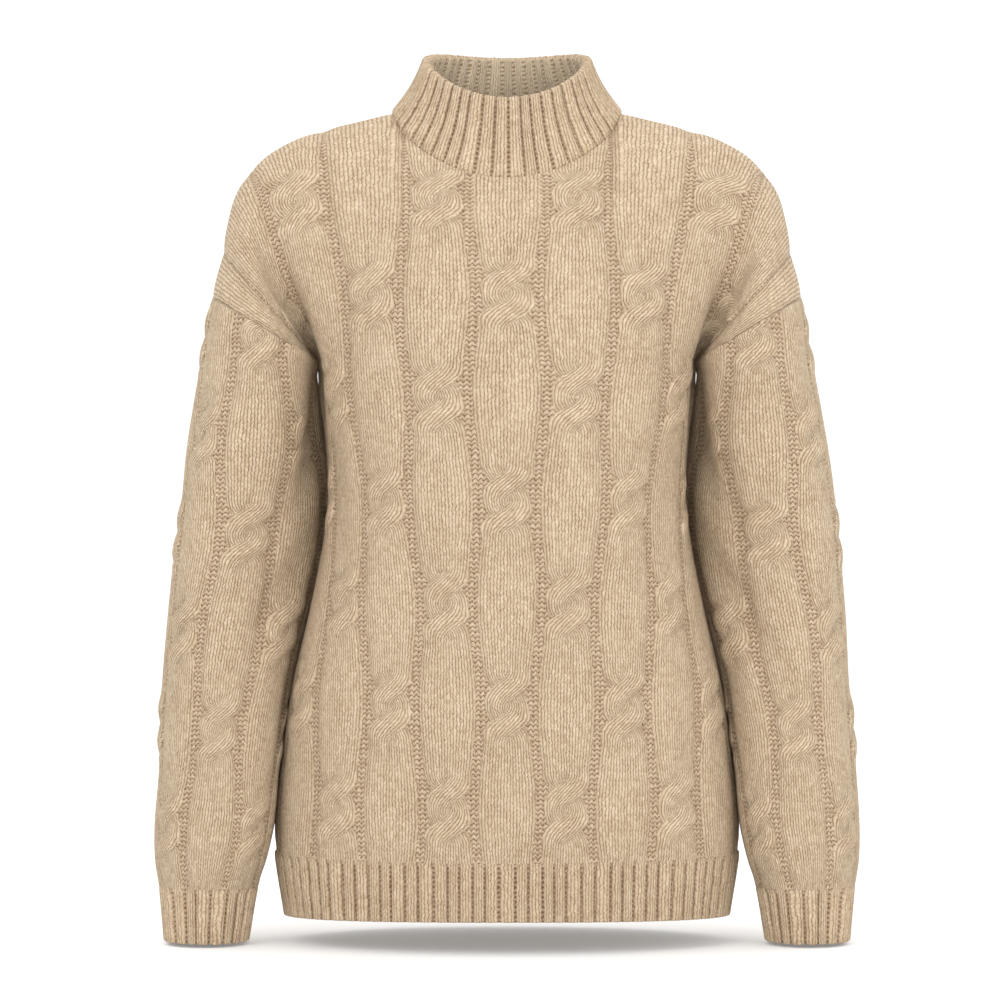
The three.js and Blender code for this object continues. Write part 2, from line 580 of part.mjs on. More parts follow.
/** A sleeve from the armhole to the cuff. side is 1 for +X. */
function sleeve(name, side) {
  const rows = Math.round(CUFF_TOP / SLEEVE_ROW_STEP);
  const ringAt = (along, step, outside) => {
    const places = [];
    const points = [];
    const count = SLEEVE_EDGE * 2 * SLEEVE_COLUMN_POINTS;
    for (let i = 0; i < count; i += step) {
      // From the underarm seam round the front, the outer line and the back, as the armhole ring runs.
      const place = SLEEVE_EDGE - (i / count) * 2 * SLEEVE_EDGE;
      const form = (a, b) => sleeveForm(side, a, b);
      const plain = form(place, along);
      const height = plain.z - CUFF_TOP_Z;
      const waved = Math.abs(place) > SLEEVE_WAVE_END ? place : followFurrow(SLEEVE_CABLES, place, height);
      const across = Math.abs(waved);
      const point = form(waved, along);
      const centre = form(0, along).add(form(SLEEVE_EDGE, along)).multiplyScalar(0.5);
      const inside = THREE.MathUtils.clamp(waved, -SLEEVE_EDGE + INSET.column, SLEEVE_EDGE - INSET.column);
      const away = point.clone().sub(centre);
      let normal = normalOf(form, inside, THREE.MathUtils.clamp(along, INSET.along, CUFF_END - INSET.along), away);
      if (along >= CUFF_TOP) normal = squareTo(normal, UP);
      const fold = foldDepth(SLEEVE_FOLDS, waved, height);
      const fork = across > UNDERARM_LINE.forkColumn ? clamp01(along / FORK_LENGTH) : 1;
      const besideLine = ease((UNDERARM_LINE.end - across) / UNDERARM_LINE.fade);
      const full = ease(Math.min(along, CUFF_TOP - along) / SEAM_FADE) * besideLine * fork;
      const seamRelief = across > SLEEVE_WAVE_END ? SEAM_RELIEF * fork : SEAM_RELIEF;
      const relief = mix(seamRelief, cableHeight(SLEEVE_CABLES, -side * waved, height), full);
      const sunk = fold * ease(along / SLEEVE_FOLD_FADE);
      points.push(point.addScaledVector(normal, (outside ? relief : -WALL) - sunk));
      places.push(i / count);
    }
    if (along >= CUFF_TOP) for (const p of points) p.z += SEAM_GAP / 2;
    return { points, places };
  };
  const lengths = evenly(rows).slice(1).map((share) => share * CUFF_TOP);
  const outer = [armholeRing(side, true), ...lengths.map((along) => ringAt(along, 1, true))];
  const inner = [armholeRing(side, false), ...everyNth(lengths, INNER_ROW_STEP).map((along) => ringAt(along, 2, false))];
  return tube(name, WOOL, outer, inner, side > 0);
}

/** A ribbed cuff. */
function cuff(name, side) {
  const count = RIBS.cuff * RIB_STEPS;
  const ringAt = (along, outside, steps, drop) => {
    const points = [];
    const places = [];
    for (let i = 0; i < count; i += steps) {
      const place = SLEEVE_EDGE - (i / count) * 2 * SLEEVE_EDGE;
      const form = (a, b) => sleeveForm(side, a, b);
      const point = form(place, along);
      const centre = form(0, along).add(form(SLEEVE_EDGE, along)).multiplyScalar(0.5);
      const normal = squareTo(point.clone().sub(centre), UP);
      const relief = along > CUFF_TOP ? ribHeight(i) : SEAM_RELIEF;
      point.addScaledVector(normal, outside ? relief : -WALL);
      point.z -= drop;
      points.push(point);
      places.push(i / count);
    }
    return { points, places };
  };
  const middle = (CUFF_TOP + CUFF_END) / 2;
  const outer = [
    ringAt(CUFF_TOP, true, 2, SEAM_GAP / 2),
    ringAt(CUFF_TOP + RIB_LEAD, true, 1, 0),
    ringAt(middle, true, 1, 0),
    ringAt(CUFF_END, true, 1, 0),
  ];
  const inner = [ringAt(CUFF_TOP, false, 3, SEAM_GAP / 2), ringAt(middle, false, 3, 0), ringAt(CUFF_END, false, 3, 0)];
  return tube(name, RIB_WOOL, outer, inner, side > 0);
}

/** Half of the ribbed hem band, under the front or the back panel. */
function hem(name, facing) {
  const count = RIBS.hem * RIB_STEPS;
  const skin = new Skin();
  const lineAt = (z, outside, steps, ribbed, drop) => {
    const places = everyNth(evenly(count), steps);
    const points = places.map((share) => {
      const column = mix(-PANEL_EDGE, PANEL_EDGE, share);
      const form = (a, b) => torsoForm(facing, a, b);
      const edge = Math.abs(column) > PANEL_EDGE - TINY;
      const point = form(column, z);
      const away = new THREE.Vector3(point.x, point.y, 0);
      const inside = THREE.MathUtils.clamp(column, -PANEL_EDGE + INSET.column, PANEL_EDGE - INSET.column);
      let normal = squareTo(normalOf(form, inside, z, away), UP);
      if (edge) normal = squareTo(normal, BACKWARD);
      const relief = ribbed && !edge ? ribHeight(Math.round(share * count)) : SEAM_RELIEF;
      point.addScaledVector(normal, outside ? relief : -WALL);
      point.y += (facing * SEAM_GAP) / 2;
      const down = (HEM_TOP_Z - z) / (HEM_TOP_Z - HEM_Z);
      point.z -= drop + SIDE_DROP * down * (column / PANEL_EDGE) ** 2;
      return point;
    });
    return { indices: skin.line(points), places };
  };
  const middle = (HEM_TOP_Z + HEM_Z) / 2;
  const outer = [
    lineAt(HEM_TOP_Z, true, 3, false, SEAM_GAP / 2),
    lineAt(HEM_TOP_Z - RIB_LEAD, true, 1, true, 0),
    lineAt(middle, true, 1, true, 0),
    lineAt(HEM_Z, true, 1, true, 0),
  ];
  const inner = [
    lineAt(HEM_TOP_Z, false, 6, false, SEAM_GAP / 2),
    lineAt(middle, false, 6, false, 0),
    lineAt(HEM_Z, false, 6, false, 0),
  ];
  const indices = (lines) => lines.map((line) => line.indices);
  const places = (lines) => lines.map((line) => line.places);
  const heights = [0, RIB_LEAD / (HEM_TOP_Z - HEM_Z), 0.5, 1];
  const flipped = facing < 0;
  skin.grid(indices(outer), places(outer), flipped);
  skin.grid(indices(inner), places(inner), !flipped);
  skin.bridge(inner[0].indices, inner[0].places, outer[0].indices, outer[0].places, flipped);
  skin.bridge(outer.at(-1).indices, outer.at(-1).places, inner.at(-1).indices, inner.at(-1).places, flipped);
  const side = (lines, i) => lines.map((line) => line.indices.at(i));
  skin.bridge(side(outer, 0), heights, side(inner, 0), [0, 0.5, 1], flipped);
  skin.bridge(side(inner, -1), [0, 0.5, 1], side(outer, -1), heights, flipped);
  return skin.mesh(name, RIB_WOOL);
}

/** The ribbed funnel collar, folded double. */
function collar(name) {
  const count = RIBS.collar * RIB_STEPS;
  const seamColumns = panelColumns().filter((place) => Math.abs(place) <= NECK_EDGE + TINY);
  const seamTurns = [
    ...seamColumns.map((place) => neckTurn(-1, place)),
    ...seamColumns.slice(1, -1).reverse().map((place) => neckTurn(1, place)),
  ].map((turn) => (turn + 2 * Math.PI + Math.PI / 2) % (2 * Math.PI));
  const seamRing = (outside) => {
    const points = seamTurns.map((fromSide) => {
      const turn = fromSide - Math.PI / 2;
      const seam = neckSeam(turn);
      const point = neckLoop(NECK, turn).addScaledVector(seam.through, outside ? SEAM_RELIEF : -WALL);
      return point.addScaledVector(seam.across, SEAM_GAP / 2);
    });
    return { points, places: seamTurns.map((fromSide) => fromSide / (2 * Math.PI)) };
  };
  const ringAt = (share, outside, steps) => {
    const points = [];
    const places = [];
    for (let i = 0; i < count; i += steps) {
      const turn = (i / count) * 2 * Math.PI - Math.PI / 2;
      const outward = new THREE.Vector3(Math.sin(turn), -Math.cos(turn), 0);
      const normal = normalOf(collarForm, turn, THREE.MathUtils.clamp(share, INSET.collar, 1 - INSET.collar), outward);
      const point = collarForm(turn, share);
      points.push(point.addScaledVector(normal, outside ? ribHeight(i) : -COLLAR_WALL));
      places.push(i / count);
    }
    return { points, places };
  };
  const outer = [seamRing(true), ...[COLLAR_RIB_START, ...COLLAR_ROWS].map((share) => ringAt(share, true, 1))];
  const inner = [seamRing(false), ...COLLAR_ROWS.map((share) => ringAt(share, false, RIB_STEPS))];
  return tube(name, RIB_WOOL, outer, inner, false);
}

const sweater = new THREE.Group();
sweater.add(panel("front", -1));
sweater.add(panel("back", 1));
sweater.add(sleeve("sleeve_left", 1));
sweater.add(sleeve("sleeve_right", -1));
sweater.add(collar("collar"));
sweater.add(hem("hem_front", -1));
sweater.add(hem("hem_back", 1));
sweater.add(cuff("cuff_left", 1));
sweater.add(cuff("cuff_right", -1));

export default sweater;
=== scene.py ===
"""Cable knit sweater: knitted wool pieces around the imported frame, filled out and empty inside."""

from __future__ import annotations

import logging
import math
from dataclasses import dataclass, field
from enum import Enum
from typing import Callable

import bpy
import numpy as np
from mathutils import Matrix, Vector

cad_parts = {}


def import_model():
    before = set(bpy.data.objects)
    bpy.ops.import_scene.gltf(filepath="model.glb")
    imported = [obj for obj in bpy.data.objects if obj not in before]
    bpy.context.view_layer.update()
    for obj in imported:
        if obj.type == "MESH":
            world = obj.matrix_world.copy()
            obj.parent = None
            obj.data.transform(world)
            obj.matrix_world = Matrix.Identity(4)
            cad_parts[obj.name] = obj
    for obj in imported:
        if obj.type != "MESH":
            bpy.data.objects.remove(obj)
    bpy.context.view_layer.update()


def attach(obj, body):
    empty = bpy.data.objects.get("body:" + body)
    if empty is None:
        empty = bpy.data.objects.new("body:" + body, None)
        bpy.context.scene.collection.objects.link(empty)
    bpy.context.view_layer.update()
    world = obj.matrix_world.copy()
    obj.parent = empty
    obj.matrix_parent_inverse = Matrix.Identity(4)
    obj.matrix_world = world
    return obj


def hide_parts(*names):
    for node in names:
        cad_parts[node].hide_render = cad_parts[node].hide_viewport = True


LOG = logging.getLogger("sweater")
Array = np.ndarray
Socket = bpy.types.NodeSocket

MM = 0.001
INNER_STEP = 3  # the inside of a wall has a third of the outside's points each way

WALL = 2.6
COLLAR_WALL = 4.2
SEAM_GAP = 0.08
SEAM_RELIEF = 1.2
ARM_RELIEF = 2.0  # the dropped armhole is a fine line, not a groove
ARM_RISE = 0.3  # share of the armhole, from the underarm, over which its seam comes up to that
BAND_RELIEF = 2.4  # so are the joins of hem band and cuffs
SEAM_FADE = 4.0
FORK_SHARE = 0.3
FORK_LENGTH = 200.0

HEM_Z = -615.0
SIDE_DROP = 5.0  # the hem hangs this much lower at the side seams
HEM_TOP_Z = -571.0
UNDERARM_Z = -189.5
PANEL_EDGE = 5.0
NECK_EDGE = 1.67
SECTION_POWER = 0.93
CUFF_TOP = 442.0
CUFF_END = 483.0
CUFF_TOP_Z = -596.0
SLEEVE_EDGE = 4.0
COLLAR_WAIST = 3.0
COLLAR_HEIGHT = 58
COLLAR_SLOPE = (49, 3, -19)  # slope of the body at the neck, in degrees: all round, front to back, sides
SLEEVE_ROUND = 350  # length round the sleeve's top, which sets its columns of points
PANEL_RISE = 215  # length from the underarm to the shoulder, which sets the panel's rows of points
GATHER = (45, 84, 2.2)  # turns towards the collar's side points where points gather: first, last, step
GATHER_END = (86.6, 90)
ARCH = 48  # how far the panel turns over up to the middle of the neckline, in degrees
ARCH_MORE = 42  # what it turns further beside the neck
NECK_OVER = 0.8  # columns over which the neck's rise goes over into the shoulder's
ARM_FROM, ARM_OVER = 3.4, 1.6  # columns where the armhole's own round rise sets in, and over how many
ARM_BULGE = 72  # how far the panel's outer columns swell at the armhole
BULGE_FROM, BULGE_OVER = 2.2, 2.8
UNDERARM_TILT = 3.4  # how far the seam's wall leans down the sleeve at the underarm
SIDE_PLAIN = 4.9  # the column at which a panel's relief has faded out beside its side seam
HIGH_FROM, HIGH_OVER = 0.15, 0.4  # where, up from the underarm, the relief comes nearer to the armhole
BAND_FADE = 12  # length over which the relief beside the hem band or the cuff fades
EDGE_FADE = 8  # length over which a fold fades towards a panel's ends
SLEEVE_FOLD_FADE = 30  # the same at the armhole of a sleeve

COURSE = 3.7  # height of a knit row
LADDER_SHIFT = 0.35  # rows by which the bumpy stitches between the columns are set off
WALES_APART = 20  # stitches counted from one column's middle to the next, so that no two look alike
COLUMN_ROUND = (3.4, 0.7)  # powers that round a column's section
STRAND_ROUND = (2.6, 0.6)  # the same of a strand
RIB_ROUND = (2.6, 0.55)  # the same of a rib
BED = 0.42  # height of the cloth under the strands, as a share of theirs
BED_WIDTH = 0.84
CROSSING_IN, CROSSING_FADE = 3, 11  # where a crossing rises out of the plain column, and over what length
SHADE_LINE_WIDTH = 0.5  # half the width of the painted shade line where strands meet, as a difference in height
RIB_DRIFT = ((0.12, 7, 0), (0.06, 17, 1))  # waves that make ribs uneven: ribs, waves round, start
RIB_RISE = 4  # length over which the ribs rise from their seam
BAND_ROW = 1.6  # spacing of the points down a ribbed band
LIP_TURNS = (30, 60, 90, 120, 150)  # degrees at which a rounded free edge has points
LIP_ROW = 1.2  # height of knitting on each of the lip's rows
LIP_REACH = 0.6  # how far the lip of a tube stands out, as a share of half its thickness
INSIDE_PAINTED_LIGHT = 0.4  # painted light: the inside lies in the shade, and its wool and stitches are painted paler there
STITCH_TOP = (0.25, 0.81)  # where a leg of a smooth stitch stands highest, in stitches and rows
STREAK, LEG, FUZZ, PATCH = 0.30, 0.26, 0.32, 0.12  # what each kind of mottling adds to the wool's tone
PITCH = 48.0  # usual width of a cable column, used to turn shares of a column into millimetres


class Facing(Enum):
    """Which way a panel faces: the sign of its outward Y."""

    FRONT = -1
    BACK = 1


class Side(Enum):
    """Which side of the sweater a sleeve is on: the sign of X."""

    LEFT = 1
    RIGHT = -1


@dataclass(frozen=True)
class Sizes:
    """A table of sizes in millimetres, read on a smooth curve through its rows.

    Args:
        columns: Names of the sizes in each row.
        rows: One row of sizes for each key, in rising or falling order of the keys.
    """

    columns: tuple[str, ...]
    rows: dict[float, tuple[float, ...]]

    def read(self, column: str, at: Array) -> Array:
        """Reads one column.

        Args:
            column: Name of the size.
            at: Keys to read it at.

        Returns:
            The size at each key.
        """
        keys = np.array(sorted(self.rows))
        values = np.array([self.rows[key][self.columns.index(column)] for key in keys])
        at = np.clip(np.asarray(at, dtype=float), keys[0], keys[-1])
        last = len(keys) - 1
        i = np.clip(np.searchsorted(keys, at, side="right") - 1, 0, last - 1)
        before, after = np.maximum(i - 1, 0), np.minimum(i + 2, last)
        span = keys[i + 1] - keys[i]
        here = (values[i + 1] - values[before]) / (keys[i + 1] - keys[before]) * span
        there = (values[after] - values[i]) / (keys[after] - keys[i]) * span
        s = (at - keys[i]) / span
        start, end = values[i], values[i + 1]
        cubic = 2 * start - 2 * end + here + there
        square = 3 * end - 3 * start - 2 * here - there
        return ((cubic * s + square) * s + here) * s + start


TORSO = Sizes(
    ("half_width", "front", "back", "pitch"),
    {
        -615: (171, 107, 99, 44),
        -571: (178.5, 112, 103, 44),
        -545: (179.5, 114, 104, 44),
        -510: (176, 113, 103, 44.5),
        -442: (166, 111, 98, 45),
        -384: (152.5, 110, 91, 46),
        -330: (142, 111, 87, 48),
        -290: (138.5, 114, 87, 49.5),
        -240: (142, 119, 92, 52),
        -189.5: (147.5, 117, 96, 54.5),
    },
)

RIDGE = Sizes(
    ("x", "z"),
    {
        1.67: (89, 0),
        2: (112, -5.7),
        2.5: (142, -12.5),
        2.85: (163, -20),
        3.2: (184, -31.5),
        3.5: (199.5, -45),
        3.8: (209.5, -63),
        4.2: (215.7, -88),
        4.6: (221, -114),
        5: (227, -141),
    },
)

SLEEVE = Sizes(
    ("outer_x", "outer_z", "inner_x", "inner_z", "half_depth", "centre_y", "turn"),
    {
        0: (227, -141, 147.5, -189.5, 72, 0, 0),
        18: (230.4, -159, 147.6, -204, 72.5, 0, 0),
        40: (233.7, -181, 145.5, -222, 73, 4, 7),
        78: (240, -220, 142, -255, 72, 9, 19),
        127: (249, -275, 139.8, -294, 69, 11, 23),
        177: (255, -330, 144.2, -336, 66, 10, 22),
        230: (260.5, -384, 155, -384, 62, 7, 16),
        288: (265.5, -442, 169.2, -442, 58, -1, 5),
        346: (268.7, -500, 177, -500, 54, -10, -8),
        391: (271.6, -545, 181, -545, 50, -17, -14),
        421: (271, -575, 187.5, -575, 45, -20, -12),
        442: (267.6, -596, 194.5, -596, 40, -21, -8),
        483: (263, -637, 202, -637, 33, -22, 0),
    },
)


@dataclass(frozen=True)
class Loop:
    """A closed line round the neck, with its own height at the front, the sides and the back."""

    half_width: float
    half_depth: float
    centre_y: float
    front: float
    side: float
    back: float

    def points(self, turn: Array) -> Array:
        """Points of the loop.

        Args:
            turn: Angles, 0 at the front middle and a quarter turn at the wearer's left side.

        Returns:
            Points in millimetres, one for each angle.
        """
        swing = (self.front - self.back) / 2
        level = ((self.front + self.back) / 2 + self.side) / 2
        dip = level - self.side
        x = self.half_width * np.sin(turn)
        y = self.centre_y - self.half_depth * np.cos(turn)
        z = level + swing * np.cos(turn) + dip * np.cos(2 * turn)
        return np.stack([x, y, z], axis=-1)


NECK = Loop(half_width=89, half_depth=68.5, centre_y=-6.5, front=-53, side=0, back=-2)
RIM = Loop(half_width=63, half_depth=54, centre_y=-6, front=8, side=43, back=50)


@dataclass(frozen=True)
class Fold:
    """A soft trough (or, with a negative depth, a ridge) in the cloth.

    Args:
        column: Cable column that the fold's middle lies on.
        up: Height of its middle up the cloth, in millimetres.
        half_columns: Half its width, in columns.
        half_up: Half its length, in millimetres.
        lean: Columns that it moves sideways for each millimetre up.
        depth: How deep it is, in millimetres.
    """

    column: float
    up: float
    half_columns: float
    half_up: float
    lean: float
    depth: float

    def press(self, column: Array, up: Array) -> Array:
        """Depth of the fold at places on the cloth.

        Args:
            column: Places across, in columns.
            up: Places up the cloth, in millimetres.

        Returns:
            Depths in millimetres.
        """
        across = (column - self.column - self.lean * (up - self.up)) / self.half_columns
        along = (up - self.up) / self.half_up
        return self.depth * np.exp(-across * across - along * along)


SHARED_BODY_FOLDS = (
    Fold(3.8, 435, 0.42, 80, -0.002, 9),
    Fold(3.15, 420, 0.4, 90, -0.002, -2.5),
    Fold(4.3, 300, 0.5, 70, 0.002, 3),
)
SIDE_SWELL = Fold(5.0, 354, 0.4, 20, 0, -1.7)  # the body's side rounds out to the sleeve under the arm
SHARED_SLEEVE_FOLDS = (
    Fold(3.8, 383, 0.45, 22, 0, -1.7),
    Fold(3.1, 330, 0.42, 62, 0.008, 9),
    Fold(2.75, 225, 0.36, 55, 0.009, 8),
    Fold(-3.0, 300, 0.45, 70, -0.007, 8),
    Fold(-2.6, 175, 0.4, 50, -0.008, 5),
)
FRONT_FOLDS = (
    Fold(-2.2, 150, 0.5, 62, 0.004, 2.2),
    Fold(1.1, 96, 0.45, 48, -0.005, 1.8),
    Fold(2.7, 238, 0.45, 80, 0.003, 2.6),
    Fold(-3.1, 262, 0.45, 72, -0.003, 2.8),
    Fold(0.2, 330, 0.8, 46, 0.006, 1.6),
    Fold(-1.2, 452, 0.55, 52, -0.004, 1.8),
    Fold(1.9, 470, 0.5, 58, 0.004, 2.0),
    Fold(3.4, 82, 0.5, 50, -0.004, 2.4),
    Fold(-3.7, 60, 0.5, 44, 0.005, 2.6),
)
BACK_FOLDS = (
    Fold(-0.6, 120, 0.55, 60, 0.004, 2.4),
    Fold(2.3, 170, 0.5, 70, -0.005, 2.8),
    Fold(-2.8, 215, 0.45, 78, 0.003, 3.0),
    Fold(0.9, 300, 0.6, 64, -0.006, 2.6),
    Fold(-1.6, 392, 0.55, 58, 0.005, 2.2),
    Fold(2.0, 480, 0.55, 66, 0.003, 2.4),
    Fold(-3.4, 74, 0.5, 52, -0.004, 2.6),
    Fold(3.6, 96, 0.45, 46, 0.005, 2.2),
)
LEFT_SLEEVE_FOLDS = (
    Fold(0.9, 392, 0.5, 40, -0.012, 2.6),
    Fold(1.6, 258, 0.5, 52, 0.010, 3.0),
    Fold(0.4, 146, 0.6, 40, -0.010, 2.2),
    Fold(-1.3, 342, 0.55, 56, 0.009, 2.8),
    Fold(-0.7, 226, 0.5, 44, -0.010, 2.4),
    Fold(2.1, 62, 0.6, 30, 0.012, 2.6),
    Fold(-1.8, 84, 0.6, 34, -0.012, 2.4),
)
RIGHT_SLEEVE_FOLDS = (
    Fold(1.1, 372, 0.5, 46, 0.010, 2.8),
    Fold(0.3, 288, 0.55, 44, -0.011, 2.2),
    Fold(1.7, 196, 0.5, 56, 0.009, 3.0),
    Fold(-1.0, 302, 0.5, 50, -0.009, 2.6),
    Fold(-1.5, 160, 0.55, 42, 0.011, 2.6),
    Fold(1.9, 76, 0.6, 32, -0.012, 2.4),
    Fold(-0.4, 70, 0.6, 30, 0.010, 2.0),
)


def ease(x: Array) -> Array:
    """Eases from 0 to 1 as x goes from 0 to 1."""
    s = np.clip(x, 0, 1)
    return s * s * (3 - 2 * s)


def mix(a: Array, b: Array, share: Array) -> Array:
    """Goes from a to b as share goes from 0 to 1."""
    return a + (b - a) * share


def unit(vectors: Array) -> Array:
    """Makes each vector one long."""
    return vectors / np.maximum(np.linalg.norm(vectors, axis=-1, keepdims=True), 1e-9)


def quarter_section(
    half_width: Array,
    depth: Array,
    length_at: Callable[[Array, int], Array],
) -> tuple[Array, Array]:
    """Places points along quarters of rounded sections, from the middle to the side.

    Args:
        half_width: Half width of each row's section.
        depth: Depth of each row's section.
        length_at: Gives a row's wanted lengths along its quarter, from its whole length and the row.

    Returns:
        Widths and depths of the points, a row for each section.
    """
    angles = np.linspace(0, math.pi / 2, 97)
    sine, cosine = np.sin(angles) ** SECTION_POWER, np.clip(np.cos(angles), 0, 1) ** SECTION_POWER
    widths, depths = [], []
    for row, (wide, deep) in enumerate(zip(half_width, depth)):
        x, y = wide * sine, deep * cosine
        lengths = np.concatenate([[0], np.cumsum(np.hypot(np.diff(x), np.diff(y)))])
        wanted = length_at(lengths[-1], row)
        widths.append(np.interp(wanted, lengths, x))
        depths.append(np.interp(wanted, lengths, y))
    return np.array(widths), np.array(depths)


def outward_normals(points: Array, closed: bool, towards: Array) -> Array:
    """Normals of a grid of points.

    Args:
        points: Grid of points, rows by columns.
        closed: Whether each row closes on itself.
        towards: Vectors that point roughly out of the cloth.

    Returns:
        A unit normal for each point.
    """
    if closed:
        wrapped = np.concatenate([points[:, -1:], points, points[:, :1]], axis=1)
        across = (wrapped[:, 2:] - wrapped[:, :-2]) / 2
    else:
        across = np.gradient(points, axis=1)
    along = np.gradient(points, axis=0)
    normals = unit(np.cross(across, along))
    return normals * np.sign(np.median(np.sum(normals * towards, axis=-1)))


@dataclass
class Stitches:
    """Where each corner of a face lies in the knitting, for the yarn in its finish.

    Args:
        wale: Place across the stitches, counted in stitches.
        course: Place up the stitches, counted in rows.
        knit: 1 where the smooth side of the stitches shows and 0 where the bumpy side does.
        height: Height of the relief, in millimetres, which the finish turns into painted shade in furrows;
            it dips where strands meet, to paint a dark line there.
    """

    wale: Array
    course: Array
    knit: Array
    height: Array


@dataclass(frozen=True)
class CableKnit:
    """Columns of plain knit, each crossed twice in a row, half a repeat apart from their neighbours.

    Args:
        period: Height of a column's repeat, in millimetres.
        first: Height of an even column's lowest crossing.
        last: Height that no crossing lies above.
        edge_column: The first column on each side that has no crossings, being cut by a seam.
        lean: 1 if the columns count to the right as seen from outside, and -1 if to the left.
    """

    period: float
    first: float
    last: float
    edge_column: int
    lean: int
    height: float = 2.7
    crown: float = 3.2
    lift: float = 1.5
    length: float = 52.0
    overlap: float = 0.22
    half: float = 0.425
    wave: float = 0.062
    wales: float = 9.0
    channel_wale: float = 4.2

    def place(self, column: Array, up: Array, index: Array) -> dict[str, Array]:
        """Works out the two strands of a column at places on the cloth.

        Args:
            column: Places across, in columns.
            up: Places up the cloth, in millimetres.
            index: The column that each place belongs to.

        Returns:
            Named shares and sizes of the strands there.
        """
        start = self.first + (np.abs(index) % 2) * (self.period / 2)
        turns = (up - start) / self.period
        nearest = np.round(turns)
        plain = (start + nearest * self.period > self.last) | (np.abs(index) >= self.edge_column)
        tau = np.where(plain, 0.5, turns - nearest) * self.period
        half = self.half - self.wave * np.cos(2 * math.pi * tau / self.period)
        x = (column - index) * self.lean
        swing = 2 * math.pi * np.clip(0.5 + tau / self.length, 0, 1)
        reach = half / 2
        slope = reach * PITCH * np.sin(swing) * 2 * math.pi / self.length
        lean = reach * np.sqrt(1 + slope**2)
        over = 1 + self.overlap * np.sin(swing)
        under = 1 - 0.5 * self.overlap * np.sin(swing)
        first, second = -reach * np.cos(swing), reach * np.cos(swing)
        return {
            "tau": tau,
            "half": half,
            "x": x,
            "swing": swing,
            "slope": slope,
            "first": (x - first) / (lean * over),
            "second": (x - second) / (lean * under),
            "from_first": (x - first) * PITCH,
            "from_second": (x - second) * PITCH,
        }

    def strands(self, spot: dict[str, Array]) -> tuple[Array, Array]:
        """Heights of the two strands at places worked out by place()."""

        def profile(across: Array) -> Array:
            share = np.clip(np.abs(across), 0, 1)
            return np.where(np.abs(across) < 1, (1 - share ** STRAND_ROUND[0]) ** STRAND_ROUND[1], -3)

        rise = self.lift * np.sin(spot["swing"])
        return self.crown * profile(spot["first"]) + rise, self.crown * profile(spot["second"]) - rise

    def crossing(self, spot: dict[str, Array]) -> Array:
        """How far each place lies within a crossing, from 0 to 1."""
        return 1 - ease((np.abs(spot["tau"]) - self.length / 2 + CROSSING_IN) / CROSSING_FADE)

    def relief(self, column: Array, up: Array) -> Array:
        """Height of the knitting.

        Args:
            column: Places across, in columns.
            up: Places up the cloth, in millimetres.

        Returns:
            Heights in millimetres.
        """
        spot = self.place(column, up, np.round(column))
        share = np.clip(np.abs(spot["x"]) / spot["half"], 0, 1)
        plain = self.height * (1 - share ** COLUMN_ROUND[0]) ** COLUMN_ROUND[1]
        first, second = self.strands(spot)
        bed = BED * self.crown * np.sqrt(np.clip(1 - (share / BED_WIDTH) ** 2, 0, 1))
        rope = np.maximum(np.maximum(first, second), bed)
        return np.maximum(mix(plain, rope, self.crossing(spot)), 0)

    def stitches(self, column: Array, up: Array, corner_column: Array, corner_up: Array) -> Stitches:
        """Places the stitches on faces.

        Args:
            column: Place of each face's middle across, in columns.
            up: Place of each face's middle up the cloth, in millimetres.
            corner_column: The same of each face's corners.
            corner_up: The same of each face's corners.

        Returns:
            The stitches at the corners.
        """
        index = np.round(column)
        spot = self.place(column, up, index)
        first, second = self.strands(spot)
        inside = np.abs(spot["tau"]) < self.length / 2
        on_first = np.where(inside, first >= second, spot["x"] < 0)
        roped = (np.abs(spot["first"]) < 1) | (np.abs(spot["second"]) < 1)
        knit = np.where(inside, roped, np.abs(spot["x"]) < spot["half"])
        corner = self.place(corner_column, corner_up, index[..., None])
        chosen = on_first[..., None]
        across = np.where(chosen, corner["first"], corner["second"])
        away = np.where(chosen, corner["from_first"], corner["from_second"])
        slope = np.where(chosen, corner["slope"], -corner["slope"])
        quarter = self.wales / 4
        wale = np.where(chosen, quarter, 3 * quarter) + quarter * across + WALES_APART * index[..., None]
        course = (corner_up + slope * away / (1 + slope**2)) / COURSE
        ladder = corner_column * self.lean * PITCH / self.channel_wale
        knit = np.broadcast_to(knit[..., None], wale.shape)
        return Stitches(
            wale=np.where(knit, wale, ladder),
            course=np.where(knit, course, corner_up / COURSE + LADDER_SHIFT),
            knit=knit.astype(float),
            # Painted shade: the marked height dips where the strands meet, so the finish paints a dark line
            # there; the mesh keeps its relief.
            height=self.relief(corner_column, corner_up) * (1 - self.shade_line(corner)),
        )

    def both_sides(self, column: Array, up: Array) -> tuple[Stitches, Stitches]:
        """Places the stitches on both sides of a wall.

        Args:
            column: Place of each outside point across, in columns.
            up: Place of each outside point up the cloth, in millimetres.

        Returns:
            The outside's stitches, and the inside's, which all show their bumpy side.
        """
        sides = []
        for step in (1, INNER_STEP):
            across, high = column[::step, ::step], up[::step, ::step]
            corners = corners_of(across), corners_of(high)
            sides.append(self.stitches(middles_of(across), middles_of(high), *corners))
        outside, inside = sides
        inside.knit = np.zeros_like(inside.knit)
        return outside, inside

    def shade_line(self, spot: dict[str, Array]) -> Array:
        """How near each place is to the line where one strand dips under the other, from 0 to 1, for the
        painted shade line there.
        """
        first, second = self.strands(spot)
        crossed = (np.abs(spot["tau"]) < self.length / 2 - 2) & (np.maximum(first, second) > 0)
        return np.where(crossed, np.exp(-(((first - second) / SHADE_LINE_WIDTH) ** 2)), 0)


